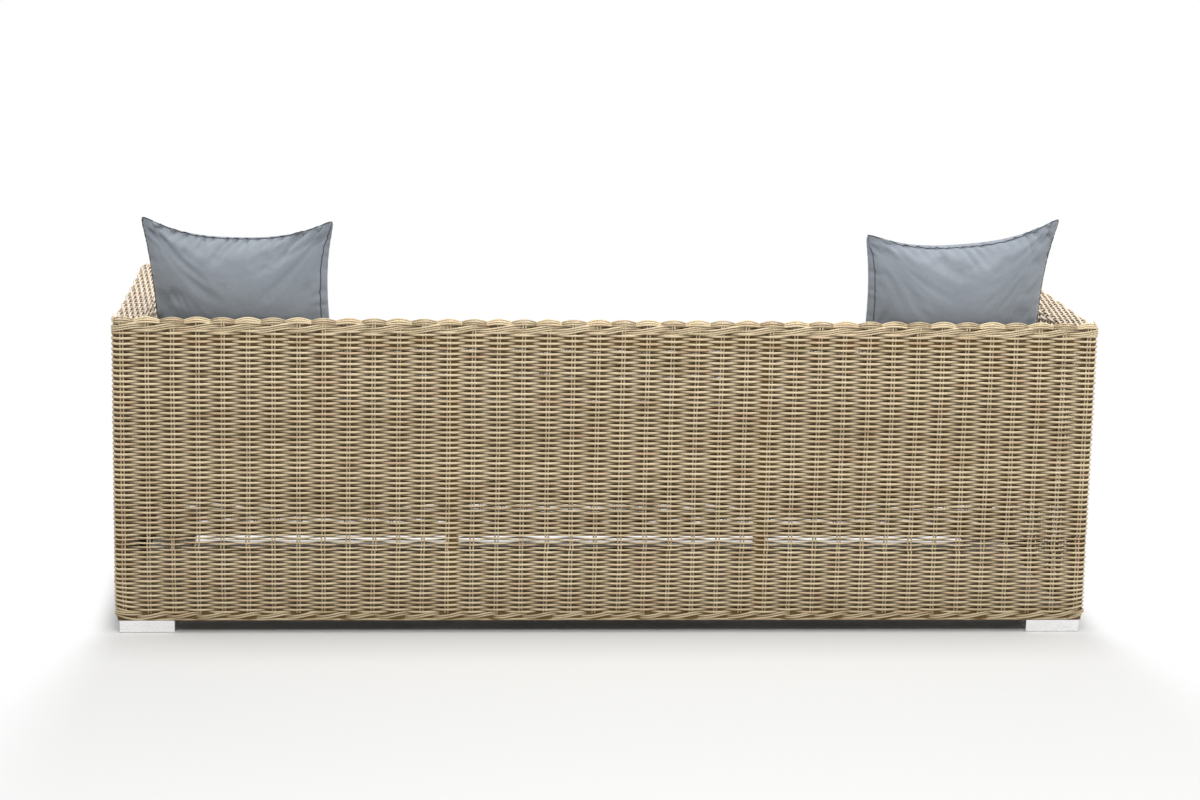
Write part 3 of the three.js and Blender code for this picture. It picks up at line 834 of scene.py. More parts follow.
top_weave = dict(Origin=zero_stake_y, Steps=ARM_TOP_STEPS, Stakes_on_path=1, Seed=3,
                 First_step=arm_top_step(arm_top_low.y + FRONT_MARGIN),
                 Last_step=arm_top_step(arm_top_high.y + BACK_OVERLAP),
                 Rows=ARM_TOP_ROWS, Row_pitch=arch_length / ARM_TOP_ROWS,
                 Row_start=arch_length / ARM_TOP_ROWS / 2,
                 Stake_low=0.0, Stake_high=arch_length, Stake_steps=16)
top_braid = dict(Stake_pitch=BRAID_STAKE, Last_step=int(arch_length / BRAID_STAKE * 8), Period=2.0,
                 Up=front_y + BRAID_PROUD, Out=BRAID_PROUD, Swing_out=0.0032, Swing_up=0.0024)
for side, (low_x, high_x) in {"left": (inner_x, side_x), "right": (-side_x, -inner_x)}.items():
    arch = [(low_x, 0, arch_foot), (low_x, 0, top_z), (high_x, 0, top_z), (high_x, 0, arch_foot)]
    # the arm tops take the paler finish, which is painted light
    made = [grow("arm_top", tree, arch, painted_light_rattan, Rise=(0, 1, 0), **values)
            for tree, values in ((weave_tree, top_weave), (braid_tree, top_braid))]
    as_piece(f"arm_top_weave_{side}", made)

# %% [markdown]
# The deck under the cushions is the same weave, only more open. It is seen from below, and from
# above where a cushion is lifted.

# %% Seat deck
DECK_ROW_PITCH = 0.0109

deck_low, deck_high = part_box("seat_deck_weave")
deck_z = (deck_low.z + deck_high.z) / 2
deck_path = [(deck_low.x, 0, deck_z), (deck_high.x, 0, deck_z)]
deck_rows = int((deck_high.y - deck_low.y) / DECK_ROW_PITCH)
deck_bays = int((deck_high.x - deck_low.x) / STAKE_PITCH)
deck = grow("seat_deck_weave", weave_tree, deck_path, Rise=(0, 1, 0), Steps=2,
            Last_step=deck_bays * 2, Rows=deck_rows, Row_pitch=DECK_ROW_PITCH,
            Row_start=deck_low.y + DECK_ROW_PITCH / 2, Stake_low=deck_low.y, Stake_high=deck_high.y,
            Stake_steps=3, Wave=0.002, Strand_radius=0.002, Stake_radius=0.0015,
            Origin=(deck_high.x - deck_low.x - deck_bays * STAKE_PITCH) / 2)
as_piece("seat_deck_weave", [deck])

# %% [markdown]
# ## Borders
# The top edge of the back has three parts. Under it all runs a rope of two bundles of three
# strands. Above the rope stand the arcs: three strands that fan out where they go over a stake,
# and three thinner ones that take turns with them and are painted darker all over, painted shade.
# Short ties on every second stake stand for the stake tips that are bent in there. The same arcs
# and rope run along the inner side, a little lower, and strands painted dark as painted shade
# fill the space between the two.

# %% Top border of the back
PAST_LAST_STAKE = 0.83
CROWN_DEPTH, ROPE_HEIGHT = 0.0082, 0.0138
INNER_CROWN_DROP, INNER_ROPE_DROP = 0.007, 0.01
FILLER_DEPTHS = (0.0075, 0.02)
FILLER_INSET = 0.2
TIE_OUT = 0.0034

border_low, border_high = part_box("back_top_border")
crown = dict(Bundles=1, Members=3, Period=2.0, Swing_out=0.004, Swing_up=0.0, Spread_up=0.0044,
             Spread_out=-0.0022, Fan=0.7, Shade_behind=0.6)
# the thinner arcs are painted darker all over: painted shade
arcs = (dict(Turn=0.0, Lift=0.0046, Strand_radius=0.0016, Shade_all_over=0.8, **crown),
        dict(Turn=0.5, Lift=0.005, Strand_radius=0.0019, **crown))
rope = dict(Bundles=2, Members=3, Period=3.0, Swing_out=0.0046, Swing_up=0.0048, Spread_up=0.0045,
            Shade_behind=0.7, Strand_radius=0.0019)
inner_rope = {**rope, "Swing_up": 0.003, "Spread_up": 0.004}
# the fillers are painted dark all along: painted shade for the hidden space between the crowns
filler = dict(Bundles=1, Period=1000.0, Turn=0.5, Swing_up=0.0, Swing_out=0.0, Strand_radius=0.0018,
              Shade_behind=0.7)
fillers = (dict(Members=4, Spread_up=0.0, Spread_out=0.0042, **filler),
           dict(Members=5, Spread_up=0.0038, Spread_out=0.0, **filler))


def braid(path, start, end, steps, **values):
    return grow("braid", braid_tree, path, First_step=round(start * steps), Last_step=round(end * steps),
                Steps=steps, **values)


border_start, border_end = -PAST_LAST_STAKE, BACK_STAKES - 1 + PAST_LAST_STAKE
filler_y = (border_low.y + border_high.y) / 2
filler_end = 2 * side_x / STAKE_PITCH - FILLER_INSET
outer_run = (wall_path, border_start, border_end, 8)
inner_run = ([(-inner_x, inner_y, 0), (inner_x, inner_y, 0)], 0, 2 * inner_x / STAKE_PITCH, 6)
filler_run = ([(-side_x, filler_y, 0), (side_x, filler_y, 0)], FILLER_INSET, filler_end, 4)
crown_up = border_high.z - CROWN_DEPTH
rope_up = border_low.z + ROPE_HEIGHT
border = [braid(*outer_run, Origin=first_stake, Up=crown_up, Out=-0.0016, **arc) for arc in arcs]
border.append(braid(*outer_run, Origin=first_stake, Up=rope_up, **rope))
border += [braid(*inner_run, Up=crown_up - INNER_CROWN_DROP, Out=-0.0014, **arc) for arc in arcs]
border.append(braid(*inner_run, Up=rope_up - INNER_ROPE_DROP, **inner_rope))
border += [braid(*filler_run, Up=border_high.z - depth, **laid)
           for depth, laid in zip(FILLER_DEPTHS, fillers)]
tie_path = [(side_x, rear_y + TIE_OUT, 0), (-side_x, rear_y + TIE_OUT, 0)]
border.append(grow("ties", weave_tree, tie_path, Origin=side_x - (BACK_STAKES - 1) / 2 * STAKE_PITCH,
                   Stake_pitch=2 * STAKE_PITCH, Steps=1, Last_step=BACK_STAKES // 2, Rows=0,
                   Stake_low=crown_up - 0.0085, Stake_high=crown_up + 0.0005, Stake_steps=4,
                   Stake_radius=0.0015, Stake_gap=0.0052))
as_piece("back_top_border", border)

# %% [markdown]
# The lower edge is bound by a smaller rope, with one strand under it that closes the edge.

# %% Hems
hem_rope = dict(Bundles=2, Members=2, Period=2.4, Up=hem_bottom + 0.0124, Swing_out=0.0044,
                Swing_up=0.0044, Spread_up=0.0047, Strand_radius=0.002)
hem_edge = dict(Bundles=1, Members=1, Period=2.0, Up=hem_bottom + 0.003, Swing_out=0.0015,
                Swing_up=0.0, Lift=0.0008, Strand_radius=0.0023, Shade_behind=0.2)


def hem(name, path, start, end, origin, steps=6):
    made = [braid(path, start, end, steps, Origin=origin, **recipe) for recipe in (hem_rope, hem_edge)]
    return as_piece(name, made)


hem("back_hem", wall_path, border_start, border_end, first_stake, 8)
side_last = (zero_stake_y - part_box("arm_hem_left")[0].y) / STAKE_PITCH
hem("arm_hem_left", wall_path, -side_last, border_start, first_stake)
hem("arm_hem_right", wall_path, border_end, BACK_STAKES - 1 + side_last, first_stake)
hem_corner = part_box("front_hem")[1].y
front_hem_path = [(-side_x, hem_corner, 0), (-side_x, front_y, 0),
                  (side_x, front_y, 0), (side_x, hem_corner, 0)]
front_hem_length = 2 * (side_x + hem_corner - front_y - CORNER_LOSS)
hem("front_hem", front_hem_path, 0, front_hem_length / STAKE_PITCH, 0.0)

# %% [markdown]
# ## Metal
# The frame is powder coated in the brown of the shade between the strands, so that it hides.
# The feet are brushed aluminium, bright from a low view. Bolts are zinc and glides black nylon.

# %% Metal and nylon finishes
EVEN, BRUSHED = (1, 1, 1), (1, 1, 30)


def metal_finish(name, tint, roughness, metallic, grain_scale, stretch, depth, specular=0.5):
    """A finish with a fine grain that may be stretched along one axis, as brushing is."""
    material, tree, shader = new_finish(name, roughness, Metallic=metallic, Specular_IOR_Level=specular)
    place = object_place(tree)
    grain = noise_of(tree, place.vector("MULTIPLY", stretch), grain_scale, 4, 0.6)
    worn = ramp(tree, noise_of(tree, place, 9.0, 3), 0.4, 0.8) * 0.25
    darker = [c * 0.8 for c in tint[:3]] + [1]
    feed(shader.inputs["Base Color"], mix_colour(tree, worn, tint, darker))
    feed(shader.inputs["Roughness"], ramp(tree, grain, 0.25, 0.8) * 0.18 + (roughness - 0.08))
    bump_into(tree, shader, grain, 0.4, depth)
    return material


tube_finish = metal_finish("frame_powder_coat", colour(100, 80, 48), 0.8, 0.0, 900.0, EVEN, 0.0001, 0.2)
foot_finish = metal_finish("brushed_aluminium", colour(246, 246, 247), 0.3, 1.0, 60.0, BRUSHED, 0.00005)
bolt_finish = metal_finish("zinc", colour(190, 192, 196), 0.4, 1.0, 400.0, EVEN, 0.0001)
glide_finish = metal_finish("black_nylon", colour(34, 34, 35), 0.5, 0.0, 700.0, EVEN, 0.0001)
finish_of = {"tube": tube_finish, "upright": tube_finish, "post": tube_finish,
             "glide": glide_finish, "bolt": bolt_finish, "foot": foot_finish}
for name, node in nodes.items():
    finish = next((made for word, made in finish_of.items() if word in name), None)
    if finish:
        dress(node.data, finish)
print("metal finishes on", sum(any(w in n for w in finish_of) for n in nodes), "nodes")

# %% [markdown]
# ## Soft goods
# The cover is a tight outdoor weave in blue grey. Its threads are about a millimetre apart, so
# they are a bump, and the colour is mottled a little from thread to thread.

# %% Cover cloth
WARP, WEFT = (900, 900, 90), (90, 90, 900)


def build_cloth(name, tint, dark):
    material, tree, shader = new_finish(name, 0.82, Sheen_Weight=0.3, Sheen_Roughness=0.4,
                                        Specular_IOR_Level=0.25)
    place = object_place(tree)
    warp, weft = [noise_of(tree, place.vector("MULTIPLY", along), 1.0, 2) for along in (WARP, WEFT)]
    thread = warp * 0.5 + weft * 0.5
    cloud = noise_of(tree, place, 11.0, 3)
    mottled = ramp(tree, thread, 0.35, 0.65) * 0.3 + ramp(tree, cloud, 0.35, 0.7) * 0.12
    feed(shader.inputs["Base Color"], mix_colour(tree, mottled, tint, dark))
    bump_into(tree, shader, thread, 0.5, 0.0006)
    return material


cloth_finish = build_cloth("blue_grey_cloth", colour(136, 142, 149), colour(102, 109, 118))
# the seam cords are much darker than the cloth: partly the thread, partly painted shade for the crease along
# the seam
seam_thread_and_shade_finish = build_cloth("seam_thread_and_painted_shade", colour(62, 67, 74), colour(46, 50, 56))
print("finishes", cloth_finish.name, seam_thread_and_shade_finish.name)

# %% [markdown]
# A cushion's folds come from its filling pushing the cover out while the seams hold it back. So a
# cloth simulation blows the cover up for some frames without gravity. The result keeps near the
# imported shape: a point may sink into it some millimetres, but hardly rises out of it, so that
# the cushions stay clear of each other and of the arms.

# %% Blow a cover up, and keep it to its shape
CLOTH = dict(quality=6, tension_damping=8, compression_damping=8, shear_damping=8, air_damping=3,
             use_pressure=True, uniform_pressure_force=3.0)


def inflate(mesh, frames, stiffness, bending, slack=0.0, mass=0.15):
    """The places of the vertices after the cover was blown up, without gravity."""
    cover = placed("cover", mesh)
    modifier = cover.modifiers.new("cloth", "CLOTH")
    own = dict(mass=mass, tension_stiffness=stiffness, compression_stiffness=stiffness,
               shear_stiffness=stiffness / 4, bending_stiffness=bending, shrink_min=-slack)
    for setting, value in {**CLOTH, **own}.items():
        setattr(modifier.settings, setting, value)
    modifier.settings.effector_weights.gravity = 0
    modifier.collision_settings.use_collision = False
    modifier.point_cache.frame_start = 1
    modifier.point_cache.frame_end = frames + 1
    scene = bpy.context.scene
    for frame_number in range(1, frames + 1):
        scene.frame_set(frame_number)
    graph = bpy.context.evaluated_depsgraph_get()
    blown = places(cover.evaluated_get(graph).data)
    bpy.data.objects.remove(cover)
    scene.frame_set(1)
    return blown


def rows_of(items, attribute_name):
    """One vector of every item, as a table."""
    flat = np.empty(len(items) * 3, dtype=np.float32)
    items.foreach_get(attribute_name, flat)
    return flat.reshape(-1, 3).astype(float)


def places(mesh):
    return rows_of(mesh.vertices, "co")


def normals(mesh):
    return rows_of(mesh.vertex_normals, "vector")


def move_to(mesh, shape):
    mesh.vertices.foreach_set("co", shape.astype(np.float32).ravel())


def held(shape, normal, blown, rise, move):
    """The blown places, no further than move from the shape and no more than rise above it."""
    change = blown - shape
    height = (change * normal).sum(1)
    change -= normal * np.maximum(height - rise, 0)[:, None]
    length = np.linalg.norm(change, axis=1)
    return shape + change * np.minimum(1, move / np.maximum(length, 1e-9))[:, None]


def subdivided(mesh, sharp_edges=()):
    """The mesh with every face cut in four and smoothed, a little less along the named edges."""
    if len(sharp_edges):
        crease = mesh.attributes.new("crease_edge", "FLOAT", "EDGE")
        values = np.zeros(len(crease.data), dtype=np.float32)
        values[list(sharp_edges)] = 0.5
        crease.data.foreach_set("value", values)
    carrier = placed("coarse", mesh)
    smooth = carrier.modifiers.new("smooth", "SUBSURF")
    smooth.levels = smooth.render_levels = 1
    fine = harvest(carrier)
    bpy.data.meshes.remove(mesh)
    return fine


def cloth_piece(name, mesh, body):
    """A cushion from its mesh, riding on its body in place of its CAD solid."""
    dress(mesh, cloth_finish)
    mesh.polygons.foreach_set("use_smooth", [True] * len(mesh.polygons))
    piece = placed(name + "_cover", mesh)
    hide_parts(name)
    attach(piece, body)
    return piece


def surface_tree(mesh):
    return BVHTree.FromPolygons([v.co for v in mesh.vertices], [list(f.vertices) for f in mesh.polygons])


def seam_piece(name, loops, surface, radius, body, lift=0.0):
    """Thin cords on a surface, each a closed loop of points that are first moved onto it."""
    near = surface_tree(surface)
    curve = bpy.data.curves.new(name, "CURVE")
    curve.dimensions = "3D"
    curve.bevel_depth = radius
    curve.bevel_resolution = 1
    for loop in loops:
        spline = curve.splines.new("POLY")
        spline.points.add(len(loop) - 1)
        spline.use_cyclic_u = True
        for point, place in zip(spline.points, loop):
            spot, normal = near.find_nearest(Vector(place))[:2]
            point.co = (*(spot + normal * lift), 1)
    mesh = harvest(placed(name, curve))
    dress(mesh, seam_thread_and_shade_finish)
    piece = placed(name, mesh)
    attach(piece, body)
    return piece


print("cushion helpers ready")

# %% [markdown]
# The seat cushions are foam blocks in a boxed cover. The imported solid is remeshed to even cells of
# a centimetre, and the cover is cut a little too large for it, so that the pressure throws soft
# folds. A seam runs round the upper and the lower edge.

# %% Seat cushions
CUSHION_CELL = 0.01
COVER_SLACK = 0.012
COVER_SINK, COVER_RISE, COVER_MOVE = 0.003, 0.0004, 0.007
CUSHION_CROWN = 0.012
SEAM_FROM_EDGE = 0.014
SEAM_POINTS = 320
SQUARENESS = 24


def box_loop(low, high, z):
    """A closed line round a box at one height, with rounded corners."""
    middle_x, middle_y = (low.x + high.x) / 2, (low.y + high.y) / 2
    half_x, half_y = (high.x - low.x) / 2, (high.y - low.y) / 2
    loop = []
    for step in range(SEAM_POINTS):
        turn = math.tau * step / SEAM_POINTS
        c, s = math.cos(turn), math.sin(turn)
        reach = 1 / (abs(c) ** SQUARENESS + abs(s) ** SQUARENESS) ** (1 / SQUARENESS)
        loop.append((middle_x + half_x * reach * c, middle_y + half_y * reach * s, z))
    return loop


for place in ("left", "middle", "right"):
    name = f"seat_cushion_{place}"
    block = nodes[name].data.copy()
    block.transform(nodes[name].matrix_world)
    carrier = placed("block", block)
    cells = carrier.modifiers.new("cells", "REMESH")
    cells.mode = "VOXEL"
    cells.voxel_size = CUSHION_CELL
    cover = harvest(carrier)
    shape, normal = places(cover), normals(cover)
    blown = inflate(cover, 14, 20, 0.4, COVER_SLACK)
    shape = held(shape, normal, blown - normal * COVER_SINK, COVER_RISE, COVER_MOVE)
    move_to(cover, shape)
    cover = subdivided(cover)
    cloth_piece(name, cover, name)
    low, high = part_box(name)
    seam_heights = (low.z + SEAM_FROM_EDGE, high.z - CUSHION_CROWN - SEAM_FROM_EDGE)
    loops = [box_loop(low, high, z) for z in seam_heights]
    seam_piece(name + "_seam", loops, cover, 0.0011, name)
    print(name, len(cover.vertices), "vertices")

# %% [markdown]
# A pillow is two square panels that are sewn together flat and then filled, so the edges draw in
# between four pointed corners. Each pillow here gets its own outline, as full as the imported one:
# where its corners stand and how far each edge draws in. A line across the panel goes from -1 to
# 1, and so does a line up it.

# %% The outline of each pillow
PILLOW_CELLS = 60
PILLOW_FLAT = 0.445
PILLOW_WIDTH, PILLOW_HEIGHT, PILLOW_THICKNESS = 0.425, 0.427, 0.13
PILLOW_DRAW_IN, PILLOW_TUCK, PILLOW_FULLNESS = 0.026, 0.006, 0.42

pillow_poses = {"left": (1, 12, 15, 1), "right": (-1, 12, 6, -0.5)}
pillow_outlines = {
    "left": dict(inner=0.225, outer=0.207, inner_tip=0.018, outer_tip=0.016,
                 top_in=0.049, inner_in=0.031, outer_in=0.018),
    "right": dict(inner=0.228, outer=0.208, inner_tip=-0.005, outer_tip=0.026,
                  top_in=0.047, inner_in=0.020, outer_in=0.030),
}


def panel_key(i, j, side):
    """A vertex of a panel. On the rim, which the panels share, its side is 0."""
    rim = (0, PILLOW_CELLS)
    return i, j, 0 if i in rim or j in rim else side


def pillow_grid():
    """The vertices of the two panels as (across, up, side), their faces, and each one's number."""
    cells, place_of, found, faces = PILLOW_CELLS, {}, [], []
    for side in (1, -1):
        for j in range(cells + 1):
            for i in range(cells + 1):
                key = panel_key(i, j, side)
                if key not in place_of:
                    place_of[key] = len(found)
                    found.append((2 * i / cells - 1, 2 * j / cells - 1, key[2]))
        for j in range(cells):
            for i in range(cells):
                cell = ((i, j), (i + 1, j), (i + 1, j + 1), (i, j + 1))
                corners = [place_of[panel_key(*corner, side)] for corner in cell]
                faces.append(corners if side == 1 else corners[::-1])
    return found, faces, place_of


def packed_pillow(across, up, side):
    """A point of the pillow as it is packed, from its place on the panel."""
    x = across * (PILLOW_WIDTH / 2 - PILLOW_DRAW_IN * (1 - up ** 2) - PILLOW_TUCK * (1 - up) / 2)
    z = up * (PILLOW_HEIGHT / 2 - PILLOW_DRAW_IN * (1 - across ** 2))
    swell = max((1 - across ** 2) * (1 - up ** 2), 0) ** PILLOW_FULLNESS
    return x, -side * swell * PILLOW_THICKNESS / 2, z


EAR = 2.6
BLUNT = 24
OPEN_FULLNESS = 0.62


def full_pillow(across, up, side, hand, inner, outer, inner_tip, outer_tip, top_in, inner_in, outer_in):
    """The same point with this pillow's own outline. Hand is 1 where its outer side is at x > 0.
    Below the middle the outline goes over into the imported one."""
    swell = max((1 - across ** 2) * (1 - up ** 2), 0) ** OPEN_FULLNESS
    far = max(abs(across), abs(up), 0.001)
    blunt = max((abs(across / far) ** BLUNT + abs(up / far) ** BLUNT) ** (1 / BLUNT), 1)
    across, up = across / blunt, up / blunt
    outward = across * hand
    half, draw = (outer, outer_in) if outward > 0 else (inner, inner_in)
    if up < 0:
        half = half * (1 + up) - (PILLOW_WIDTH / 2 - PILLOW_TUCK) * up
        draw = draw * (1 + up) - PILLOW_DRAW_IN * up
    x = across * (half - draw * (1 - abs(up) ** EAR))
    tip = inner_tip + (outer_tip - inner_tip) * (outward + 1) / 2
    top = PILLOW_HEIGHT / 2 + tip - top_in * (1 - abs(across) ** EAR)
    bottom = PILLOW_HEIGHT / 2 - PILLOW_DRAW_IN * (1 - across ** 2)
    return x, -side * swell * PILLOW_THICKNESS / 2, up * (top if up > 0 else bottom)


print("pillow outlines:", sorted(pillow_outlines))

# %% [markdown]
# The creases come from a cloth simulation that does what the sewer does: it blows two flat panels
# up. Only its creases are kept, and laid on the pillow's own outline. A crease runs away from a
# seam, so beside a seam the blown panel is compared with itself smoothed along that seam. The
# small puckers where the seams gather the cloth are finer than the simulated cells, so they are
# drawn as short grooves that widen and fade away from the seam.

# %% Creases from blown up panels
CREASE_GAIN = 1.35
CREASE_OFF = 0.0012
CREASE_LOW, CREASE_HIGH = -0.007, 0.0015
CREASE_SMOOTHING = 60
# the spans of a pucker's length, width and depth
TOP_PUCKER = ((0.04, 0.1), (0.004, 0.0065), (0.003, 0.0065))
SIDE_PUCKER = ((0.02, 0.055), (0.0035, 0.005), (0.0015, 0.0032))
CORNER_PUCKER = ((0.08, 0.15), (0.005, 0.008), (0.0022, 0.0045))


def flat_pillow(across, up, side, seed):
    """A point on the flat panels, with a slight uneven puff to start from."""
    puff = 0.006 * (1 - across ** 2) * (1 - up ** 2)
    puff += noise.noise(Vector((across * 6.3 + seed, up * 6.3, side * 5.0))) * 0.0025 * (side != 0)
    return across * PILLOW_FLAT / 2, -side * puff, up * PILLOW_FLAT / 2


def smoothed(rows, times):
    """A square table of heights, smoothed along its first direction."""
    for _ in range(times):
        padded = np.pad(rows, ((1, 1), (0, 0)), mode="edge")
        rows = rows / 2 + (padded[:-2] + padded[2:]) / 4
    return rows


def creases(blown, place_of, side):
    """How far one blown panel stands off its smoothed self, as a square table."""
    points = range(PILLOW_CELLS + 1)
    height = np.array([[blown[place_of[panel_key(i, j, side)]][1] * -side for j in points] for i in points])
    line = np.abs(2 * np.arange(len(points)) / PILLOW_CELLS - 1)
    across, up = np.meshgrid(line, line, indexing="ij")
    toward_top = (up ** 4 + 0.02) / (up ** 4 + across ** 4 + 0.04)
    along_top, along_side = smoothed(height, CREASE_SMOOTHING), smoothed(height.T, CREASE_SMOOTHING).T
    return height - (along_top * toward_top + along_side * (1 - toward_top))


def pucker_marks(hand, seed):
    """Short creases as (x, z, turn, length, width, depth) on the flat panel: where the seams gather
    the cloth, and from the upper corners towards the middle."""
    draw = np.random.default_rng(seed)
    half_x, half_z = PILLOW_WIDTH / 2, PILLOW_HEIGHT / 2
    marks = []

    def mark(x, z, turn, spans):
        marks.append((x, z, turn, *[draw.uniform(*span) for span in spans]))

    x = -half_x * 0.86
    while x < half_x * 0.86:
        slant = math.radians(draw.uniform(25, 50)) * hand
        mark(x, half_z, slant - math.pi / 2, TOP_PUCKER)
        x += draw.uniform(0.013, 0.034)
    for edge in (-1, 1):
        z = -half_z * 0.2
        while z < half_z * 0.85:
            mark(edge * half_x, z, math.pi * (edge > 0) + math.radians(draw.uniform(-20, 20)), SIDE_PUCKER)
            z += draw.uniform(0.018, 0.045)
        for spread in (-16, -4, 9, 20):
            toward = math.atan2(-half_z, -edge * half_x) + math.radians(spread + draw.uniform(-3, 3))
            start = draw.uniform(0.02, 0.045)
            mark(edge * half_x + start * math.cos(toward), half_z + start * math.sin(toward), toward,
                 CORNER_PUCKER)
    return marks


def pucker_depth(x, z, marks):
    """How deep the marked creases are at places of the panel."""
    deep = np.zeros(len(x))
    for start_x, start_z, turn, length, width, depth in marks:
        along = (x - start_x) * math.cos(turn) + (z - start_z) * math.sin(turn)
        beside = (z - start_z) * math.cos(turn) - (x - start_x) * math.sin(turn)
        fade = np.clip(along / 0.008 + 0.3, 0, 1) * np.clip(1 - along / length, 0, 1) ** 1.5
        deep += depth * fade * np.exp(-(beside / (width * (1 + np.clip(along, 0, None) / length))) ** 2)
    return deep


print("crease helpers ready")

# %% [markdown]
# The seam is sewn on the side that is seen from behind, so a strip of the other panel shows past
# it along the top and the inner edge. It narrows to nothing at the corners, and the thread pulls
# a shallow groove.

# %% Pillows
INNER_INSET = 0.012
TOP_INSET = {"left": 0.0016, "right": 0.0036}
GROOVE_DEPTH, GROOVE_WIDTH = 0.0014, 0.003
GROOVE_FROM = 0.002
SEAM_STEPS = 180
SEAM_LIFT = 0.0005
PUCKER_GAIN = {"left": 1.5, "right": 1.1}
PANEL_PLACES = {"panel_x": PILLOW_WIDTH / 2, "panel_z": PILLOW_HEIGHT / 2, "panel": 1}


def seam_line(hand, top_inset):
    """The seam on the rear panel as (across, up) and how far it lies from the rim, all round."""
    line = []
    for step in range(4 * SEAM_STEPS):
        leg, part = divmod(step, SEAM_STEPS)
        run = 2 * part / SEAM_STEPS - 1
        across, up = ((run, -1), (1, run), (-run, 1), (-1, -run))[leg]
        inset = 0.0
        if leg == 2:
            inset = top_inset * (1 - run ** 2) ** 0.5
            up -= inset / (PILLOW_HEIGHT / 2)
        elif leg in (1, 3) and across * hand < 0:
            inset = INNER_INSET * (1 - max(up, -0.2) ** 4) ** 0.8
            across *= 1 - inset / (PILLOW_WIDTH / 2)
        line.append((across, up, inset))
    return line


def add_creases(shape, seed, grid, faces, place_of):
    """Presses the creases of the blown up panels into a pillow's shape."""
    flat = bpy.data.meshes.new("flat")
    flat.from_pydata([flat_pillow(*spot, seed) for spot in grid], [], faces)
    blown = inflate(flat, 30, 40, 0.02, mass=0.3)
    for side in (1, -1):
        crease = creases(blown, place_of, side) * CREASE_GAIN - CREASE_OFF
        crease = np.clip(crease, CREASE_LOW, CREASE_HIGH)
        for (i, j, panel), index in place_of.items():
            if panel == side:
                shape[index, 1] -= side * crease[i, j]
    print("creases from", round(crease.min() * 1000, 1), "to", round(crease.max() * 1000, 1), "mm")


def press_groove(mesh, spots):
    """A shallow groove in the mesh along a row of spots."""
    groove = KDTree(len(spots))
    for index, spot in enumerate(spots):
        groove.insert(spot, index)
    groove.balance()
    for vertex, normal in zip(mesh.vertices, [v.normal.copy() for v in mesh.vertices]):
        away = groove.find(vertex.co)[2]
        if away < GROOVE_WIDTH * 3:
            vertex.co -= normal * GROOVE_DEPTH * math.exp(-(away / GROOVE_WIDTH) ** 2)


for place, (hand, lean, turn_in, roll) in pillow_poses.items():
    name = f"pillow_{place}"
    outline = pillow_outlines[place]
    grid, faces, place_of = pillow_grid()
    shape = np.array([full_pillow(*spot, hand, **outline) for spot in grid])
    add_creases(shape, hand * 3.1, grid, faces, place_of)
    turned = (Matrix.Rotation(math.radians(-hand * turn_in), 3, "Z")
              @ Matrix.Rotation(math.radians(-lean), 3, "X")
              @ Matrix.Rotation(math.radians(hand * roll), 3, "Y"))
    matrix = np.array(turned)
    packed = np.array([packed_pillow(*spot) for spot in grid]) @ matrix.T
    low, high = [np.array(corner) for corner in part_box(name)]
    centre = (low + high) / 2 - (packed.min(0) + packed.max(0)) / 2
    coarse = bpy.data.meshes.new(name)
    coarse.from_pydata((shape @ matrix.T + centre).tolist(), [], faces)
    for column, (label, scale) in enumerate(PANEL_PLACES.items()):
        values = np.array(grid, dtype=np.float32)[:, column] * scale
        coarse.attributes.new(label, "FLOAT", "POINT").data.foreach_set("value", values)
    rim = {index for (i, j, panel), index in place_of.items() if panel == 0}
    rim_edges = [edge.index for edge in coarse.edges if set(edge.vertices) <= rim]
    mesh = subdivided(coarse, rim_edges)
    panel_x, panel_z, panel = [np.array([v.value for v in mesh.attributes[label].data])
                               for label in PANEL_PLACES]
    shape, outward = places(mesh), normals(mesh)
    for side in (1, -1):
        deep = pucker_depth(panel_x, panel_z, pucker_marks(hand, 7 + side)) * np.clip(panel * side * 2, 0, 1)
        deep *= PUCKER_GAIN[place]
        shape -= outward * deep[:, None]
    move_to(mesh, shape)
    mesh.update()
    near = surface_tree(mesh)
    loop, grooved = [], []
    for across, up, inset in seam_line(hand, TOP_INSET[place]):
        spot = np.array(full_pillow(across, up, -1, hand, **outline)) @ matrix.T + centre
        loop.append(near.find_nearest(Vector(spot))[0])
        if inset > GROOVE_FROM:
            grooved.append(loop[-1])
    press_groove(mesh, grooved)
    cloth_piece(name, mesh, name)
    seam_piece(name + "_seam", [loop], mesh, 0.0009, name, SEAM_LIFT)
    print(name, len(mesh.vertices), "vertices, packed size off by",
          np.round((packed.max(0) - packed.min(0) - high + low) * 1000, 1), "mm")

# %% [markdown]
# ## Light and floor
# The sofa stands on a white floor under a wide soft lamp overhead, with a second one above and
# behind it and a low one under the camera, which reaches the hem and the feet. Weaker ones stand
# before the sofa and at each end, where they light the edges of the pillows. So the strands are
# bright on top and dark below. The floor is lit where the sofa stands, and goes over into plain
# white further out, so that its far edge can't be seen. That happens within a step beside the
# sofa and on its far side, and slowly on the side of the camera.

# %% Floor
FLOOR_SIZE = 40
WHITE = (1, 1, 1, 1)
BESIDE_EDGE, BESIDE_WIDTH, BESIDE_SPREAD = 1.03, 0.08, 0.3
REAR_SIDE = 0.4
NEAR_EDGE, NEAR_WIDTH = 0.3, 2.2
FAR_EDGE, FAR_WIDTH = 0.38, 0.06


def plain_plane(name, size):
    half = size / 2
    corners = [(-half, -half, 0), (half, -half, 0), (half, half, 0), (-half, half, 0)]
    mesh = bpy.data.meshes.new(name)
    mesh.from_pydata(corners, [], [(0, 1, 2, 3)])
    plane = placed(name, mesh)
    return plane


def past(flow, edge, width=1.0):
    """How many widths a place lies past an edge."""
    return (flow - edge).math("MAXIMUM", 0.0) / width


def seen_plainly(tree):
    """1 for what the camera sees, straight or in a mirror, and 0 for light on its way."""
    ray = put(tree, "ShaderNodeLightPath")
    return ray.out("Is Camera Ray").math("MAXIMUM", ray.out("Is Glossy Ray"))


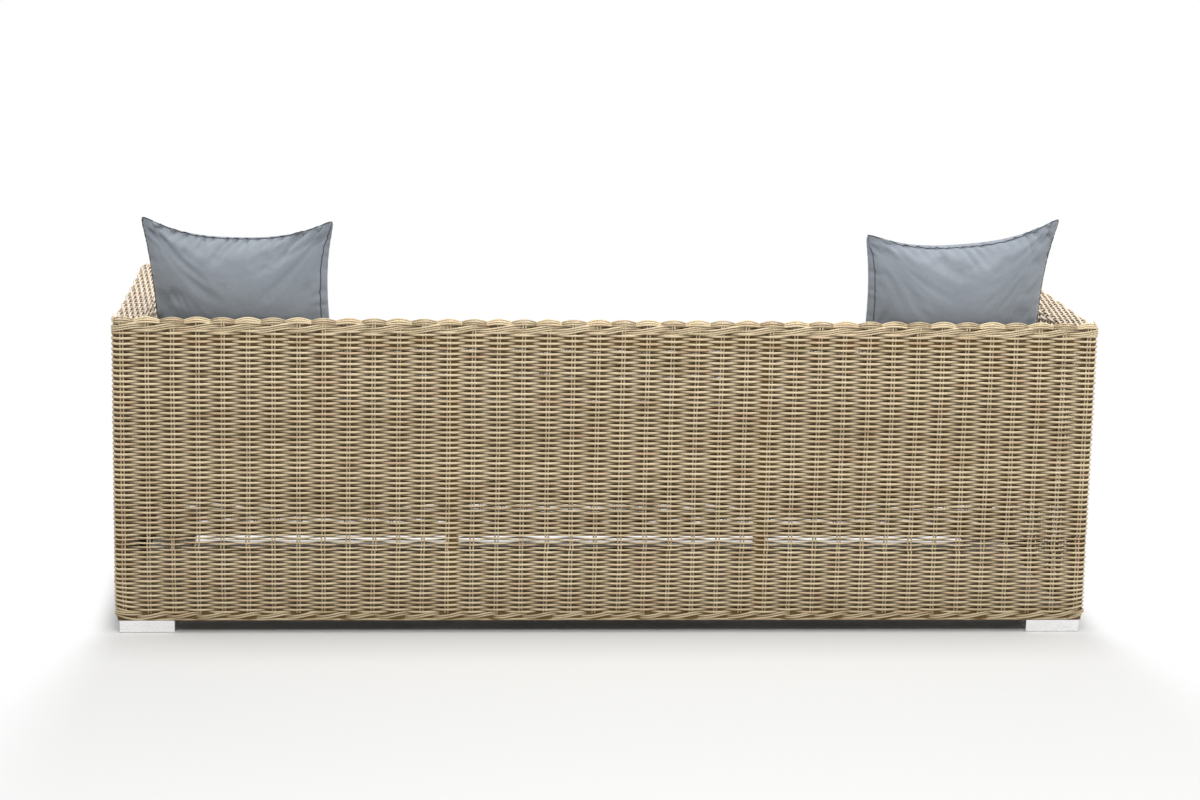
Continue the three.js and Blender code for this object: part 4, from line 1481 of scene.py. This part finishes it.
def build_floor_finish():
    """A pale floor that goes over into white."""
    material, tree, shader = new_finish("floor_white", 0.9, Specular_IOR_Level=0.1)
    shader.inputs["Base Color"].default_value = (0.53, 0.53, 0.525, 1)
    white = put(tree, "ShaderNodeEmission", {"Color": WHITE, "Strength": 1.0}).out("Emission")
    place = put(tree, "ShaderNodeSeparateXYZ", [object_place(tree)])
    widening = past(place.out("Y"), REAR_SIDE) * BESIDE_SPREAD + BESIDE_WIDTH
    beside = past(place.out("X").math("ABSOLUTE"), BESIDE_EDGE) / widening
    near = past(place.out("Y"), NEAR_EDGE, NEAR_WIDTH)
    beyond = past(place.out("Y") * -1.0, FAR_EDGE, FAR_WIDTH)
    away = (beside * beside + near * near + beyond * beyond).math("SQRT")
    far = put(tree, "ShaderNodeMapRange", {"Value": away, "From Min": 0.0, "From Max": 1.0},
              interpolation_type="SMOOTHSTEP").out("Result")
    mixed = put(tree, "ShaderNodeMixShader", [far * seen_plainly(tree)])
    tree.links.new(shader.outputs["BSDF"], mixed.node.inputs[1])
    feed(mixed.node.inputs[2], white)
    feed(tree.nodes["Material Output"].inputs["Surface"], mixed.out())
    return material


floor = plain_plane("floor", FLOOR_SIZE)
floor.data.materials.append(build_floor_finish())
print("floor", FLOOR_SIZE, "m wide")

# %% World
AMBIENT = 0.19

world = bpy.data.worlds.new("studio")
bpy.context.scene.world = world
world.use_nodes = True
background = world.node_tree.nodes["Background"]
background.inputs["Color"].default_value = WHITE
feed(background.inputs["Strength"], seen_plainly(world.node_tree) * (1 - AMBIENT) + AMBIENT)
print("ambient light", AMBIENT)


# %% Lamps
def lamp(name, place, aim, size, power):
    data = bpy.data.lights.new(name, "AREA")
    data.shape = "RECTANGLE"
    data.size, data.size_y = size
    data.energy = power
    turned = (Vector(aim) - Vector(place)).to_track_quat("-Z", "Y").to_matrix().to_4x4()
    placed(name, data).matrix_world = Matrix.Translation(place) @ turned
    print(name, power, "W")


lamp("rear_softbox", (-0.4, 3.2, 3.7), (0, 0.4, 0.35), (2.8, 1.3), 120)
lamp("overhead_softbox", (0, 0.3, 3.6), (0, 0.3, 0.3), (5.5, 1.8), 150)
lamp("low_softbox", (0, 5.6, 0.8), (0, 0.4, 0.1), (4.0, 0.6), 45)
lamp("front_softbox", (0, -3.2, 2.8), (0, -0.2, 0.4), (4.5, 1.4), 45)
lamp("left_softbox", (4.3, 1.0, 1.7), (0, 0, 0.5), (1.6, 2.6), 34)
lamp("right_softbox", (-4.3, 1.0, 1.7), (0, 0, 0.5), (1.6, 2.6), 60)

bpy.context.scene.view_settings.view_transform = "Standard"
